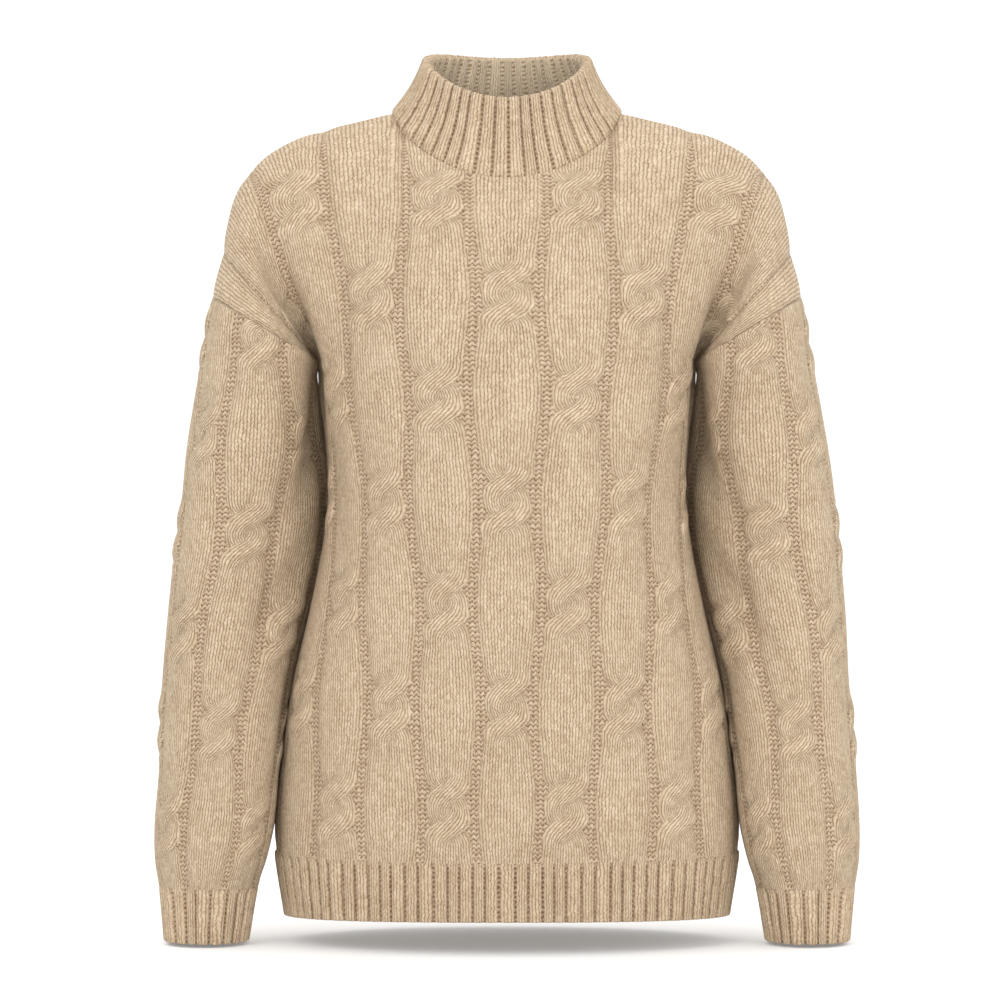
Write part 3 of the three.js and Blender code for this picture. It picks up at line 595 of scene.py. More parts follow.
@dataclass(frozen=True)
class RibKnit:
    """Ribs that run up the cloth, with a furrow between each two.

    Args:
        count: Ribs across the whole piece.
        height: How far the ribs stand out.
        width: How much of each rib's share of the cloth shows smooth stitches.
    """

    count: int
    height: float = 2.9
    width: float = 0.87

    def turns(self, share: Array) -> Array:
        """Ribs counted up to a share of the way across, some a little wider than others."""
        angle = 2 * math.pi * share
        (wide, slow, start), (narrow, fast, later) = RIB_DRIFT
        drift = wide * np.sin(slow * angle + start)
        return share * self.count + drift + narrow * np.sin(fast * angle + later)

    def across(self, share: Array) -> Array:
        """Place within each rib: 0 on its middle and 1 or -1 half way to the next one."""
        return (np.mod(self.turns(share), 1) - 0.5) * 2

    def relief(self, share: Array) -> Array:
        """Height of the ribs at shares of the way across."""
        place = np.clip(np.abs(self.across(share)) / self.width, 0, 1)
        return self.height * (1 - place ** RIB_ROUND[0]) ** RIB_ROUND[1]

    def stitches(self, share: Array, corner_share: Array, corner_up: Array) -> Stitches:
        """Places the stitches on faces.

        Args:
            share: Place of each face's middle across, as a share of the whole.
            corner_share: The same of each face's corners.
            corner_up: Height of the corners up the cloth, in millimetres.

        Returns:
            The stitches at the corners.
        """
        rib = np.floor(self.turns(share))[..., None]
        across = (self.turns(corner_share) - rib - 0.5) * 2
        knit = np.abs(self.across(share))[..., None] < self.width
        knit = np.broadcast_to(knit, across.shape)
        wale = across / self.width + 1 + 6 * rib
        return Stitches(
            wale=np.where(knit, wale, across * 0.5 + 0.5),
            course=corner_up / COURSE,
            knit=knit.astype(float),
            height=self.relief(corner_share),
        )


def rim_faces(outer: list[int], inner: list[int], step: int) -> list[tuple[int, ...]]:
    """Joins a fine line of points to a coarse one that has every step-th point.

    Args:
        outer: Numbers of the fine line's points.
        inner: Numbers of the coarse line's points.
        step: Fine points for each coarse one.

    Returns:
        Faces that run from the fine line to the coarse one.
    """
    faces: list[tuple[int, ...]] = []
    for i in range(len(inner) - 1):
        fine = outer[i * step : i * step + step + 1]
        middle = step // 2
        for j in range(step):
            if j < middle:
                faces.append((fine[j + 1], fine[j], inner[i]))
            elif j == middle:
                faces.append((fine[j + 1], fine[j], inner[i], inner[i + 1]))
            else:
                faces.append((fine[j + 1], fine[j], inner[i + 1]))
    # A rounded lip gives the fine line a few more points, which all join the coarse line's last one.
    for j in range((len(inner) - 1) * step, len(outer) - 1):
        faces.append((outer[j + 1], outer[j], inner[-1]))
    return faces


@dataclass
class Wall:
    """A closed wall of cloth between a fine outside and a coarser inside.

    Args:
        name: Name of the piece.
        outer: Outside points, rows by columns, in millimetres.
        inner: Inside points, at every step-th row and column of the outside.
        stitches: Stitches at the corners of the outside faces.
        inner_stitches: Stitches at the corners of the inside faces.
        closed: Whether each row closes on itself.
        step: Outside points for each inside one.
        turned: Whether the outside faces run the other way round.
    """

    name: str
    outer: Array
    inner: Array
    stitches: Stitches
    inner_stitches: Stitches
    closed: bool
    step: int
    turned: bool

    @staticmethod
    def quads(rows: int, columns: int, start: int, closed: bool) -> Array:
        """Numbers of the corners of a grid's faces."""
        grid = np.arange(rows * columns).reshape(rows, columns) + start
        right = np.concatenate([grid, grid[:, :1]], axis=1) if closed else grid
        low, high = right[:-1], right[1:]
        return np.stack([low[:, :-1], low[:, 1:], high[:, 1:], high[:, :-1]], axis=-1).reshape(-1, 4)

    @staticmethod
    def line(grid: Array, closed: bool) -> list[int]:
        """A line of point numbers, closed on itself where the cloth is."""
        numbers = [int(n) for n in grid]
        return numbers + numbers[:1] if closed else numbers

    def build(self) -> bpy.types.Object:
        """Makes the wall's object.

        Returns:
            The object, linked to the scene.
        """
        rows, columns = self.outer.shape[:2]
        inner_rows, inner_columns = self.inner.shape[:2]
        start = rows * columns
        outside = self.quads(rows, columns, 0, self.closed)
        inside = self.quads(inner_rows, inner_columns, start, self.closed)[:, ::-1]
        outer_grid = np.arange(start).reshape(rows, columns)
        inner_grid = np.arange(inner_rows * inner_columns).reshape(inner_rows, inner_columns) + start

        def rim(fine: Array, coarse: Array, closed: bool) -> list[tuple[int, ...]]:
            """The faces of one edge."""
            return rim_faces(self.line(fine, closed), self.line(coarse, closed), self.step)

        rims = rim(outer_grid[0], inner_grid[0], self.closed)
        rims += [face[::-1] for face in rim(outer_grid[-1], inner_grid[-1], self.closed)]
        if not self.closed:
            rims += [face[::-1] for face in rim(outer_grid[:, 0], inner_grid[:, 0], False)]
            rims += rim(outer_grid[:, -1], inner_grid[:, -1], False)
        faces = [tuple(face) for face in outside.tolist() + inside.tolist()] + rims
        if self.turned:
            faces = [face[::-1] for face in faces]
        points = np.concatenate([self.outer.reshape(-1, 3), self.inner.reshape(-1, 3)]) * MM
        mesh = bpy.data.meshes.new(self.name)
        mesh.from_pydata(points.tolist(), [], faces)
        self.mark(mesh)
        mesh.validate()
        mesh.polygons.foreach_set("use_smooth", np.ones(len(mesh.polygons), dtype=bool))
        mesh.set_sharp_from_angle(angle=math.radians(62))
        mesh.update()
        piece = bpy.data.objects.new(self.name, mesh)
        bpy.context.scene.collection.objects.link(piece)
        return piece

    def mark(self, mesh: bpy.types.Mesh) -> None:
        """Writes the stitches to the mesh; the rims get the top of a smooth stitch.

        Args:
            mesh: The wall's mesh.
        """

        def corners(name: str) -> Array:
            """One value for each corner of each grid face, in the order of the mesh."""
            both = []
            for sheet, inside in ((self.stitches, False), (self.inner_stitches, True)):
                value = getattr(sheet, name).reshape(-1, 4)
                both.append(value[:, ::-1] if inside != self.turned else value)
            return np.concatenate(both).reshape(-1)

        loops = len(mesh.loops)
        wale, course, knit, height = (corners(name) for name in ("wale", "course", "knit", "height"))
        uv = np.full((loops, 2), STITCH_TOP, dtype=np.float32)
        uv[: len(wale), 0], uv[: len(wale), 1] = wale, course
        outside_loops = self.stitches.wale.size
        stitch_map = mesh.uv_layers.new(name="stitches")
        stitch_map.data.foreach_set("uv", uv.reshape(-1))
        colour = np.ones((loops, 4), dtype=np.float32)
        # Green carries the relief that the finish turns into painted shade in furrows; blue marks the
        # inside, which the finish paints paler as painted light.
        colour[: len(wale), 0], colour[: len(wale), 1] = knit, np.clip(height / 8, 0, 1)
        colour[:, 2] = 0
        colour[outside_loops : len(wale), 2] = 1
        knitting = mesh.color_attributes.new(name="knitting", type="FLOAT_COLOR", domain="CORNER")
        knitting.data.foreach_set("color", colour.reshape(-1))


def corners_of(grid: Array) -> Array:
    """Values of a grid at the four corners of each face, with the corners on a last axis."""
    return np.stack([grid[:-1, :-1], grid[:-1, 1:], grid[1:, 1:], grid[1:, :-1]], axis=-1)


def middles_of(grid: Array) -> Array:
    """Values of a grid at the middle of each face."""
    return (grid[:-1, :-1] + grid[:-1, 1:] + grid[1:, 1:] + grid[1:, :-1]) / 4


@dataclass(frozen=True)
class Yarn:
    """The mottled wool that the whole sweater is knitted from.

    Args:
        name: Name of the material.
        light: Colour of the pale fibres, linear.
        dark: Colour of the tan fibres, linear.
        shade: Colour of the painted shade between the stitches and at the bottom of furrows, linear.
        groove: How much of its light the bottom of a furrow keeps under the painted shade.
        bump_mm: Height of a stitch in the relief of the finish.
    """

    name: str
    light: tuple[float, float, float]
    dark: tuple[float, float, float]
    shade: tuple[float, float, float]
    groove: float
    bump_mm: float = 0.8

    def material(self) -> bpy.types.Material:
        """Makes the wool's material, with painted shade between the stitches, in furrows and along the lines
        where strands meet, and painted light on the inside.
        """
        graph = Graph(self.name)
        uv = graph.node("ShaderNodeUVMap", uv_map="stitches")
        split = graph.node("ShaderNodeSeparateXYZ")
        graph.link(uv.outputs["UV"], split.inputs[0])
        wale, course = split.outputs["X"], split.outputs["Y"]
        marks = graph.node("ShaderNodeAttribute", attribute_name="knitting")
        parts = graph.node("ShaderNodeSeparateColor")
        graph.link(marks.outputs["Color"], parts.inputs[0])
        knit, relief, inside = parts.outputs["Red"], parts.outputs["Green"], parts.outputs["Blue"]

        wobble = graph.noise(graph.vector(wale, course), scale=0.35, detail=2)
        jitter = graph.noise(graph.vector(wale, course), scale=1.7, detail=1)
        drift = graph.math("ADD", graph.math("MULTIPLY", wobble, 0.9), graph.math("MULTIPLY", jitter, 0.5))
        course_at = graph.math("ADD", course, drift)
        sway = graph.math("MULTIPLY", graph.math("SUBTRACT", wobble, 0.5), 0.45)
        sway = graph.math("ADD", sway, graph.math("MULTIPLY", graph.math("SUBTRACT", jitter, 0.5), 0.4))
        wale_at = graph.math("ADD", wale, sway)
        plain = self.knit_height(graph, wale_at, course_at)
        bars = self.purl_height(graph, wale_at, course_at)
        height = graph.blend(knit, bars, plain)

        place = graph.node("ShaderNodeTexCoord").outputs["Object"]
        fibres = graph.noise(place, scale=1500, detail=3)
        fuzz = graph.noise(place, scale=520, detail=4)
        streak = graph.noise(graph.vector(graph.math("MULTIPLY", wale, 0.9), course), scale=0.8, detail=4)
        leg = graph.node("ShaderNodeTexWhiteNoise", noise_dimensions="2D")
        legs = graph.vector(
            graph.math("FLOOR", graph.math("MULTIPLY", wale_at, 2)),
            graph.math("FLOOR", course_at),
        )
        graph.link(legs, leg.inputs["Vector"])
        patch = graph.noise(place, scale=34, detail=3)

        tone = graph.math("MULTIPLY", graph.contrast(streak, 2.2), STREAK)
        tone = graph.math("ADD", tone, graph.math("MULTIPLY", leg.outputs["Value"], LEG))
        tone = graph.math("ADD", tone, graph.math("MULTIPLY", graph.contrast(fuzz, 2.6), FUZZ))
        tone = graph.math("ADD", tone, graph.math("MULTIPLY", graph.contrast(patch, 2.4), PATCH))
        # Painted light: the inside's wool is painted paler.
        tone = graph.math("ADD", tone, graph.math("MULTIPLY", inside, INSIDE_PAINTED_LIGHT))
        wool = graph.colour_mix(tone, self.dark, self.light)
        # Painted shade between the stitches: where the stitch height is low the wool darkens towards the
        # shade colour, more crisply in some patches than in others.
        felted = graph.contrast(graph.noise(place, scale=70, detail=3), 3.0)
        crisp = graph.ramp(height, ((0.0, 0.0), (0.4, 0.60), (0.8, 1.0)))
        soft = graph.ramp(height, ((0.0, 0.30), (0.4, 0.80), (0.8, 1.0)))
        dotted = graph.ramp(height, ((0.12, 0.0), (0.45, 0.78), (0.8, 1.0)))
        lit = graph.blend(knit, dotted, graph.blend(felted, crisp, soft))
        # Painted shade at the bottom of furrows, from the relief marked on the mesh.
        furrow_shade = graph.ramp(relief, ((0.0, self.groove), (0.12, 0.35 + 0.65 * self.groove), (0.26, 1.0)))
        lit = graph.math("MULTIPLY", lit, furrow_shade)
        # Painted light: the inside gets less of the painted shade between its stitches.
        lit = graph.math("ADD", lit, graph.math("MULTIPLY", inside, INSIDE_PAINTED_LIGHT / 2))
        colour = graph.colour_mix_sockets(lit, graph.colour(self.shade), wool)

        rough = graph.math("ADD", graph.math("MULTIPLY", fibres, 0.4), height)
        rough = graph.math("ADD", rough, graph.math("MULTIPLY", fuzz, 0.5))
        relief_node = graph.node("ShaderNodeBump")
        relief_node.inputs["Strength"].default_value = 1.0
        relief_node.inputs["Distance"].default_value = self.bump_mm * MM
        graph.link(rough, relief_node.inputs["Height"])

        shader = graph.shader
        shader.inputs["Roughness"].default_value = 0.92
        shader.inputs["IOR"].default_value = 1.4
        shader.inputs["Specular IOR Level"].default_value = 0.2
        shader.inputs["Sheen Weight"].default_value = 0.10
        shader.inputs["Sheen Roughness"].default_value = 0.55
        shader.inputs["Sheen Tint"].default_value = (1.0, 0.90, 0.76, 1.0)
        graph.link(colour, shader.inputs["Base Color"])
        graph.link(relief_node.outputs["Normal"], shader.inputs["Normal"])
        return graph.material

    def knit_height(self, graph: "Graph", wale: Socket, course: Socket) -> Socket:
        """Height of the smooth side: each stitch is a V of two slanted legs."""
        from_middle = graph.math("ABSOLUTE", graph.math("SUBTRACT", graph.math("FRACT", wale), 0.5))
        spread = graph.math("MULTIPLY", from_middle, 2)
        leg = graph.hump(spread, 0.75)
        slanted = graph.math("SUBTRACT", course, graph.math("MULTIPLY", spread, 0.62))
        link = graph.hump(graph.math("FRACT", slanted), 0.6)
        return graph.math("MULTIPLY", leg, graph.math("ADD", graph.math("MULTIPLY", link, 0.48), 0.52))

    def purl_height(self, graph: "Graph", wale: Socket, course: Socket) -> Socket:
        """Height of the bumpy side: short level bars, offset from stitch to stitch."""
        turn = graph.math("MULTIPLY", wale, 2 * math.pi)
        wave = graph.math("MULTIPLY", graph.math("COSINE", turn), 0.22)
        bar = graph.hump(graph.math("FRACT", graph.math("ADD", course, wave)), 0.8)
        width = graph.hump(graph.math("FRACT", wale), 0.5)
        return graph.math("MULTIPLY", bar, graph.math("ADD", graph.math("MULTIPLY", width, 0.6), 0.3))


class Graph:
    """A material's nodes, made and linked in short calls."""

    def __init__(self, name: str) -> None:
        """Starts a material with one shader.

        Args:
            name: Name of the material.
        """
        self.material = bpy.data.materials.new(name)
        self.material.use_nodes = True
        self.tree = self.material.node_tree
        self.shader = self.tree.nodes["Principled BSDF"]

    def node(self, kind: str, **settings: object) -> bpy.types.Node:
        """Adds a node and gives it its settings."""
        made = self.tree.nodes.new(kind)
        for key, value in settings.items():
            setattr(made, key, value)
        return made

    def link(self, start: Socket, end: Socket) -> None:
        """Joins two sockets."""
        self.tree.links.new(start, end)

    def feed(self, socket: Socket, value: Socket | float) -> None:
        """Gives a socket a link or a plain number."""
        if isinstance(value, Socket):
            self.link(value, socket)
        else:
            socket.default_value = value

    def math(self, operation: str, *values: Socket | float) -> Socket:
        """Adds a sum on one or two values."""
        made = self.node("ShaderNodeMath", operation=operation)
        for socket, value in zip(made.inputs, values):
            self.feed(socket, value)
        return made.outputs[0]

    def hump(self, share: Socket, power: float) -> Socket:
        """A rounded hump that is 0 where share is 0 or 1, and 1 half way."""
        swing = self.math("SINE", self.math("MULTIPLY", share, math.pi))
        return self.math("POWER", self.math("MAXIMUM", swing, 0.0001), power)

    def contrast(self, value: Socket, gain: float) -> Socket:
        """Spreads a value around one half, kept from 0 to 1."""
        spread = self.math("ADD", self.math("MULTIPLY", self.math("SUBTRACT", value, 0.5), gain), 0.5)
        return self.math("MINIMUM", self.math("MAXIMUM", spread, 0.0), 1.0)

    def vector(self, x: Socket | float, y: Socket | float) -> Socket:
        """Joins two values to a vector."""
        made = self.node("ShaderNodeCombineXYZ")
        self.feed(made.inputs["X"], x)
        self.feed(made.inputs["Y"], y)
        return made.outputs[0]

    def noise(self, vector: Socket, scale: float, detail: float) -> Socket:
        """Adds a soft noise and gives its value."""
        made = self.node("ShaderNodeTexNoise")
        made.inputs["Scale"].default_value = scale
        made.inputs["Detail"].default_value = detail
        made.inputs["Roughness"].default_value = 0.6
        self.link(vector, made.inputs["Vector"])
        return made.outputs["Fac"]

    def ramp(self, value: Socket, stops: tuple[tuple[float, float], ...]) -> Socket:
        """Maps a value through a curve of stops, each a place and a level."""
        made = self.node("ShaderNodeValToRGB")
        elements = made.color_ramp.elements
        while len(elements) < len(stops):
            elements.new(0.5)
        for element, (place, level) in zip(elements, stops):
            element.position = place
            element.color = (level, level, level, 1)
        self.link(value, made.inputs[0])
        return made.outputs["Color"]

    def blend(
        self,
        share: Socket,
        low: Socket,
        high: Socket,
    ) -> Socket:
        """Goes from low to high as share goes from 0 to 1."""
        made = self.node("ShaderNodeMix", data_type="FLOAT")
        self.link(share, made.inputs["Factor"])
        self.link(low, made.inputs["A"])
        self.link(high, made.inputs["B"])
        return made.outputs["Result"]

    def colour(self, value: tuple[float, float, float]) -> Socket:
        """Adds a plain colour."""
        made = self.node("ShaderNodeRGB")
        made.outputs[0].default_value = (*value, 1)
        return made.outputs[0]

    def colour_mix(
        self,
        share: Socket,
        low: tuple[float, float, float],
        high: tuple[float, float, float],
    ) -> Socket:
        """Mixes two plain colours."""
        return self.colour_mix_sockets(share, self.colour(low), self.colour(high))

    def colour_mix_sockets(
        self,
        share: Socket,
        low: Socket,
        high: Socket,
    ) -> Socket:
        """Mixes two colour sockets."""
        made = self.node("ShaderNodeMix", data_type="RGBA")
        self.link(share, made.inputs["Factor"])
        colours = [socket for socket in made.inputs if socket.type == "RGBA"]
        self.link(low, colours[0])
        self.link(high, colours[1])
        return next(socket for socket in made.outputs if socket.type == "RGBA")


def torso_form(facing: Facing, column: Array, z: Array) -> Array:
    """Plain form of the body below the underarm.

    Args:
        facing: Front or back.
        column: Grid of places across, in columns from the middle.
        z: Height of each row.

    Returns:
        A grid of points.
    """
    depth = TORSO.read("front" if facing is Facing.FRONT else "back", z)
    pitch = TORSO.read("pitch", z)
    across = np.abs(column)

    def length_at(total: Array, row: int) -> Array:
        even = pitch[row] * across[row]
        return even + (total - pitch[row] * PANEL_EDGE) * (across[row] / PANEL_EDGE) ** 4

    x, y = quarter_section(TORSO.read("half_width", z), depth, length_at)
    heights = np.broadcast_to(z[:, None], x.shape)
    return np.stack([np.sign(column) * x, facing.value * y, heights], axis=-1)


def neck_turn(facing: Facing, column: Array) -> Array:
    """Where on the neck loop a panel's column ends."""
    turn = np.arcsin(np.clip(column / NECK_EDGE, -1, 1))
    return turn if facing is Facing.FRONT else math.pi - turn


def panel_top(facing: Facing, column: Array) -> Array:
    """The top edge of a panel: neckline in the middle, shoulder line outside it."""
    across = np.abs(column)
    neckline = NECK.points(neck_turn(facing, column))
    to_arm = (PANEL_EDGE - across) / (PANEL_EDGE - NECK_EDGE)
    ridge = np.stack(
        [np.sign(column) * RIDGE.read("x", across), NECK.centre_y * to_arm, RIDGE.read("z", across)],
        axis=-1,
    )
    return np.where((across <= NECK_EDGE + 1e-9)[..., None], neckline, ridge)


def panel_form(facing: Facing, column: Array, up: Array) -> Array:
    """Plain form of a panel.

    Args:
        facing: Front or back.
        column: Grid of places across.
        up: Place of each row: -1 at the hem band, 0 at the underarm, 1 at the top edge.

    Returns:
        A grid of points.
    """
    z = mix(UNDERARM_Z, HEM_TOP_Z, np.clip(-up, 0, 1))
    low = torso_form(facing, column, z)
    top = panel_top(facing, column)
    rise_up = np.clip(up, 0, 1)[:, None]
    across = np.abs(column)
    arch = np.radians(ARCH + ARCH_MORE * np.minimum(1, across / NECK_EDGE) ** 4)
    rise = np.sin(arch * rise_up) / np.sin(arch)
    draw_in = (1 - np.cos(arch * rise_up)) / (1 - np.cos(arch))
    round_over = (1 - np.cos(math.pi * rise_up)) / 2
    spread = mix(draw_in, rise, ease((across - NECK_EDGE) / NECK_OVER))
    to_arm = ease((across - ARM_FROM) / ARM_OVER)
    bulge = ARM_BULGE * ease((across - BULGE_FROM) / BULGE_OVER)
    x = mix(low[..., 0], top[..., 0], mix(spread, round_over, to_arm))
    y = mix(low[..., 1], top[..., 1], draw_in) + facing.value * bulge * np.sin(math.pi * rise_up)
    height = mix(low[..., 2], top[..., 2], mix(rise, round_over, to_arm))
    return np.stack([x, y, height], axis=-1)


def sleeve_form(side: Side, column: Array, along: Array) -> Array:
    """Plain form of a sleeve.

    Args:
        side: Left or right.
        column: Grid of places round it: 0 outside, above 0 at the front, 4 or -4 at the underarm seam.
        along: Each row's distance from the armhole.

    Returns:
        A grid of points.
    """
    zero = np.zeros_like(along)
    outer = np.stack([SLEEVE.read("outer_x", along), zero, SLEEVE.read("outer_z", along)], axis=-1)
    inner = np.stack([SLEEVE.read("inner_x", along), zero, SLEEVE.read("inner_z", along)], axis=-1)
    reach = np.linalg.norm(outer - inner, axis=-1) / 2
    across = np.abs(column)
    near_seam = across > SLEEVE_EDGE / 2
    from_axis = np.where(near_seam, SLEEVE_EDGE - across, across)
    width, depth = quarter_section(
        SLEEVE.read("half_depth", along),
        reach,
        lambda total, row: total * from_axis[row] / (SLEEVE_EDGE / 2),
    )
    outward = unit(outer - inner)[:, None]
    centre = ((outer + inner) / 2)[:, None]
    points = centre + outward * np.where(near_seam, -depth, depth)[..., None]
    inwards = np.where(near_seam, depth, -depth) / reach[:, None]
    middle = SLEEVE.read("centre_y", along)[:, None] + SLEEVE.read("turn", along)[:, None] * inwards
    points[..., 1] = middle - np.sign(column) * width
    points[..., 0] *= side.value
    return points


def collar_form(turn: Array, share: Array) -> Array:
    """Plain form of the collar, from its seam (share 0) to its rim (share 1)."""
    points = mix(NECK.points(turn), RIM.points(turn), share[..., None])
    bow = COLLAR_WAIST * np.sin(math.pi * share)
    return points + np.stack([-bow * np.sin(turn), bow * np.cos(turn), np.zeros_like(bow)], axis=-1)


def armhole_seam(side: Side, facing: float, turn: Array) -> tuple[Array, Array]:
    """Directions at the armhole seam.

    Args:
        side: Left or right.
        facing: -1 on the front half and 1 on the back half.
        turn: Angles from the underarm (0) to the shoulder line (half a turn).

    Returns:
        The directions through the cloth and across the seam, down the sleeve.
    """
    outer = np.array([SLEEVE.read("outer_x", 0), 0, SLEEVE.read("outer_z", 0)])
    inner = np.array([SLEEVE.read("inner_x", 0), 0, SLEEVE.read("inner_z", 0)])
    reach = (outer - inner) / 2
    half_depth = float(SLEEVE.read("half_depth", 0))
    back = np.array([0.0, 1.0, 0.0])
    down_sleeve = -np.cross(unit(reach), back)
    sine, cosine = np.sin(turn)[:, None], np.cos(turn)[:, None]
    through = unit(-reach * cosine / np.dot(reach, reach) + back * facing * sine / half_depth)
    through = unit(through + down_sleeve * UNDERARM_TILT * np.maximum(0, cosine) ** 4)
    tangent = unit(reach * sine + back * facing * half_depth * cosine)
    across = unit(np.cross(tangent, through))
    wrong = (across @ down_sleeve < 0) | ((across[:, 0] < 0) & (turn < 0.1))
    across[wrong] *= -1
    mirror = np.array([side.value, 1, 1])
    return through * mirror, across * mirror


def neck_seam(turn: Array) -> tuple[Array, Array]:
    """Directions at the collar seam.

    Args:
        turn: Angles round the neck.

    Returns:
        The directions through the cloth and across the seam, towards the rim.
    """
    small = 0.01
    low = np.full_like(turn, small)
    around = collar_form(turn + small, low) - collar_form(turn - small, low)
    along = collar_form(turn, low + small) - collar_form(turn, low - small)
    outward = np.stack([np.sin(turn), -np.cos(turn), np.zeros_like(turn)], axis=-1)
    collar = unit(np.cross(around, along))
    collar *= np.sign(np.sum(collar * outward, axis=-1, keepdims=True))
    all_round, to_front, to_sides = COLLAR_SLOPE
    slope = all_round + to_front * np.cos(turn) + to_sides * np.cos(2 * turn)
    elevation = np.radians(slope)[:, None]
    body = outward * np.cos(elevation) + np.array([0, 0, 1.0]) * np.sin(elevation)
    through = unit(collar + body)
    tangent = unit(NECK.points(turn + small) - NECK.points(turn - small))
    across = unit(np.cross(tangent, through))
    across *= np.where(across[:, 2:] < 0, -1, 1)
    return through, across


def in_threes(count: int) -> int:
    """The next number of steps that the inside's step goes into."""
    return math.ceil(count / INNER_STEP) * INNER_STEP


def density(millimetres: float, spacing: float) -> int:
    return in_threes(round(millimetres / (spacing * 1)))


def rounded_lip(outer: Array, inner: Array, over: Array) -> Array:
    """Rows that round a free edge over from the outside towards the inside.

    Args:
        outer: The outside's last row.
        inner: The inside's last row.
        over: How far the lip stands past the edge, one vector for all or one for each point.

    Returns:
        The rows of the lip.
    """
    middle, reach = (outer + inner) / 2, (outer - inner) / 2
    turns = np.radians(LIP_TURNS)
    return np.stack([middle + reach * math.cos(turn) + over * math.sin(turn) for turn in turns])


@dataclass
class Panel:
    """The front or the back, from the hem band to the shoulders."""

    name: str
    facing: Facing
    folds: tuple[Fold, ...]
    spacing: float = 1.9

    def places(self) -> tuple[Array, Array]:
        """Places across at the hem and at the top, where they gather beside the collar's side points.

        Returns:
            Places for the bottom row and for the top row.
        """
        turns = np.radians(np.concatenate([np.arange(*GATHER), GATHER_END]))
        gathered = NECK_EDGE * np.sin(turns)
        middle = np.linspace(0, gathered[0], density(gathered[0] * PITCH, self.spacing) + 1)[:-1]
        half_count = len(middle) + len(gathered) - 1
        outer_count = density((PANEL_EDGE - NECK_EDGE) * PITCH, self.spacing)
        outer_count += -(half_count + outer_count) % INNER_STEP
        outer = np.linspace(NECK_EDGE, PANEL_EDGE, outer_count + 1)[1:]
        half = np.concatenate([middle, gathered, outer])
        top = np.concatenate([-half[:0:-1], half])
        bottom = np.linspace(-PANEL_EDGE, PANEL_EDGE, len(top))
        return bottom, top

    def rows(self) -> Array:
        """Places up the panel."""
        below = density(UNDERARM_Z - HEM_TOP_Z, self.spacing)
        above = density(PANEL_RISE, self.spacing)
        return np.concatenate([np.linspace(-1, 0, below + 1), np.linspace(0, 1, above + 1)[1:]])

    def grid(self) -> tuple[Array, Array, Array]:
        """The panel's form.

        Returns:
            Places across, places up and points.
        """
        bottom, top = self.places()
        up = self.rows()
        column = mix(bottom[None], top[None], ease((up + 0.6) / 1.4)[:, None])
        return column, up, panel_form(self.facing, column, up)

    def normals(self, column: Array, up: Array, form: Array) -> tuple[Array, Array]:
        """Directions through the cloth, and how far each point moves away from a seam.

        Args:
            column: Places across.
            up: Places up.
            form: The form's points.

        Returns:
            The directions and the moves.
        """
        sign = self.facing.value
        away = np.stack(
            [form[..., 0] * 0.6, sign * (60 + np.abs(form[..., 1])), np.maximum(0, form[..., 2] + 120)],
            axis=-1,
        )
        through = outward_normals(form, False, away)
        flat = np.array([1.0, 0.0, 1.0])
        move = np.zeros_like(form)
        move[..., 1] = sign * SEAM_GAP / 2
        ridge = np.abs(column[-1]) > NECK_EDGE + 1e-6
        through[:, 0], through[:, -1] = unit(through[:, 0] * flat), unit(through[:, -1] * flat)
        through[-1, ridge] = unit(through[-1, ridge] * flat)
        arm = up >= 0
        for edge, side in ((0, Side.RIGHT), (-1, Side.LEFT)):
            seam, across = armhole_seam(side, sign, math.pi * up[arm])
            through[arm, edge] = seam
            move[arm, edge] -= across * SEAM_GAP / 2
        neck = ~ridge
        seam, across = neck_seam(neck_turn(self.facing, column[-1, neck]))
        through[-1, neck] = seam
        move[-1, neck] -= across * SEAM_GAP / 2
        through[0] = unit(through[0] * np.array([1.0, 1.0, 0.0]))
        move[0, :, 2] += SEAM_GAP / 2
        return through, move

    def heights(self, form: Array) -> Array:
        """Length of each column up to each point of the cloth, in millimetres."""
        steps = np.linalg.norm(np.diff(form, axis=0), axis=-1)
        return np.concatenate([np.zeros((1, form.shape[1])), np.cumsum(steps, axis=0)])

    def build(self) -> bpy.types.Object:
        """Makes the panel."""
        column, up, form = self.grid()
        through, move = self.normals(column, up, form)
        height = self.heights(form)
        knitting = CableKnit(period=155, first=117.5, last=560, edge_column=5, lean=-self.facing.value)
        below = (up <= 0)[:, None]
        underarm_row = int(np.sum(up <= 0)) - 1
        course = np.where(below, (up[:, None] + 1) * (UNDERARM_Z - HEM_TOP_Z), 0)
        course = np.where(below, course, UNDERARM_Z - HEM_TOP_Z + height - height[underarm_row])
        fold = sum(one.press(np.abs(column), course) for one in SHARED_BODY_FOLDS)
        fold = fold + sum(one.press(column, course) for one in self.folds)
        settle = ease((PANEL_EDGE - np.abs(column)) / 0.5)
        fold = fold * settle * ease(height / EDGE_FADE) * ease((height[-1] - height) / EDGE_FADE)
        fold = fold + SIDE_SWELL.press(np.abs(column), course)
        from_seam = np.minimum(course, np.where(below, np.inf, height[-1] - height))
        across = np.abs(column)
        higher = ease((up - HIGH_FROM) / HIGH_OVER)[:, None]
        beside = mix(ease((SIDE_PLAIN - across) / 0.8), ease((PANEL_EDGE - across) / 0.14), higher)
        full = ease(from_seam / SEAM_FADE) * beside
        fork = np.where(below, np.clip(-up[:, None] / FORK_SHARE, 0, 1), 1)
        arm = mix(SEAM_RELIEF, ARM_RELIEF, ease(up / ARM_RISE))[:, None]
        seam_relief = np.where(across > 4.5, arm * fork, SEAM_RELIEF)
        band_relief = BAND_RELIEF * ease((SIDE_PLAIN - across) / 0.4)
        seam_relief = mix(band_relief, seam_relief, ease(course / BAND_FADE))
        relief = mix(seam_relief, knitting.relief(column, course), full)
        outer = form + through * (relief - fold)[..., None] + move
        inner = form + through * (-WALL - fold)[..., None] + move
        step = INNER_STEP
        inner = inner[::step, ::step]
        turned = self.facing is Facing.BACK
        stitches, inside = knitting.both_sides(column, course)
        return Wall(self.name, outer, inner, stitches, inside, False, step, turned).build()


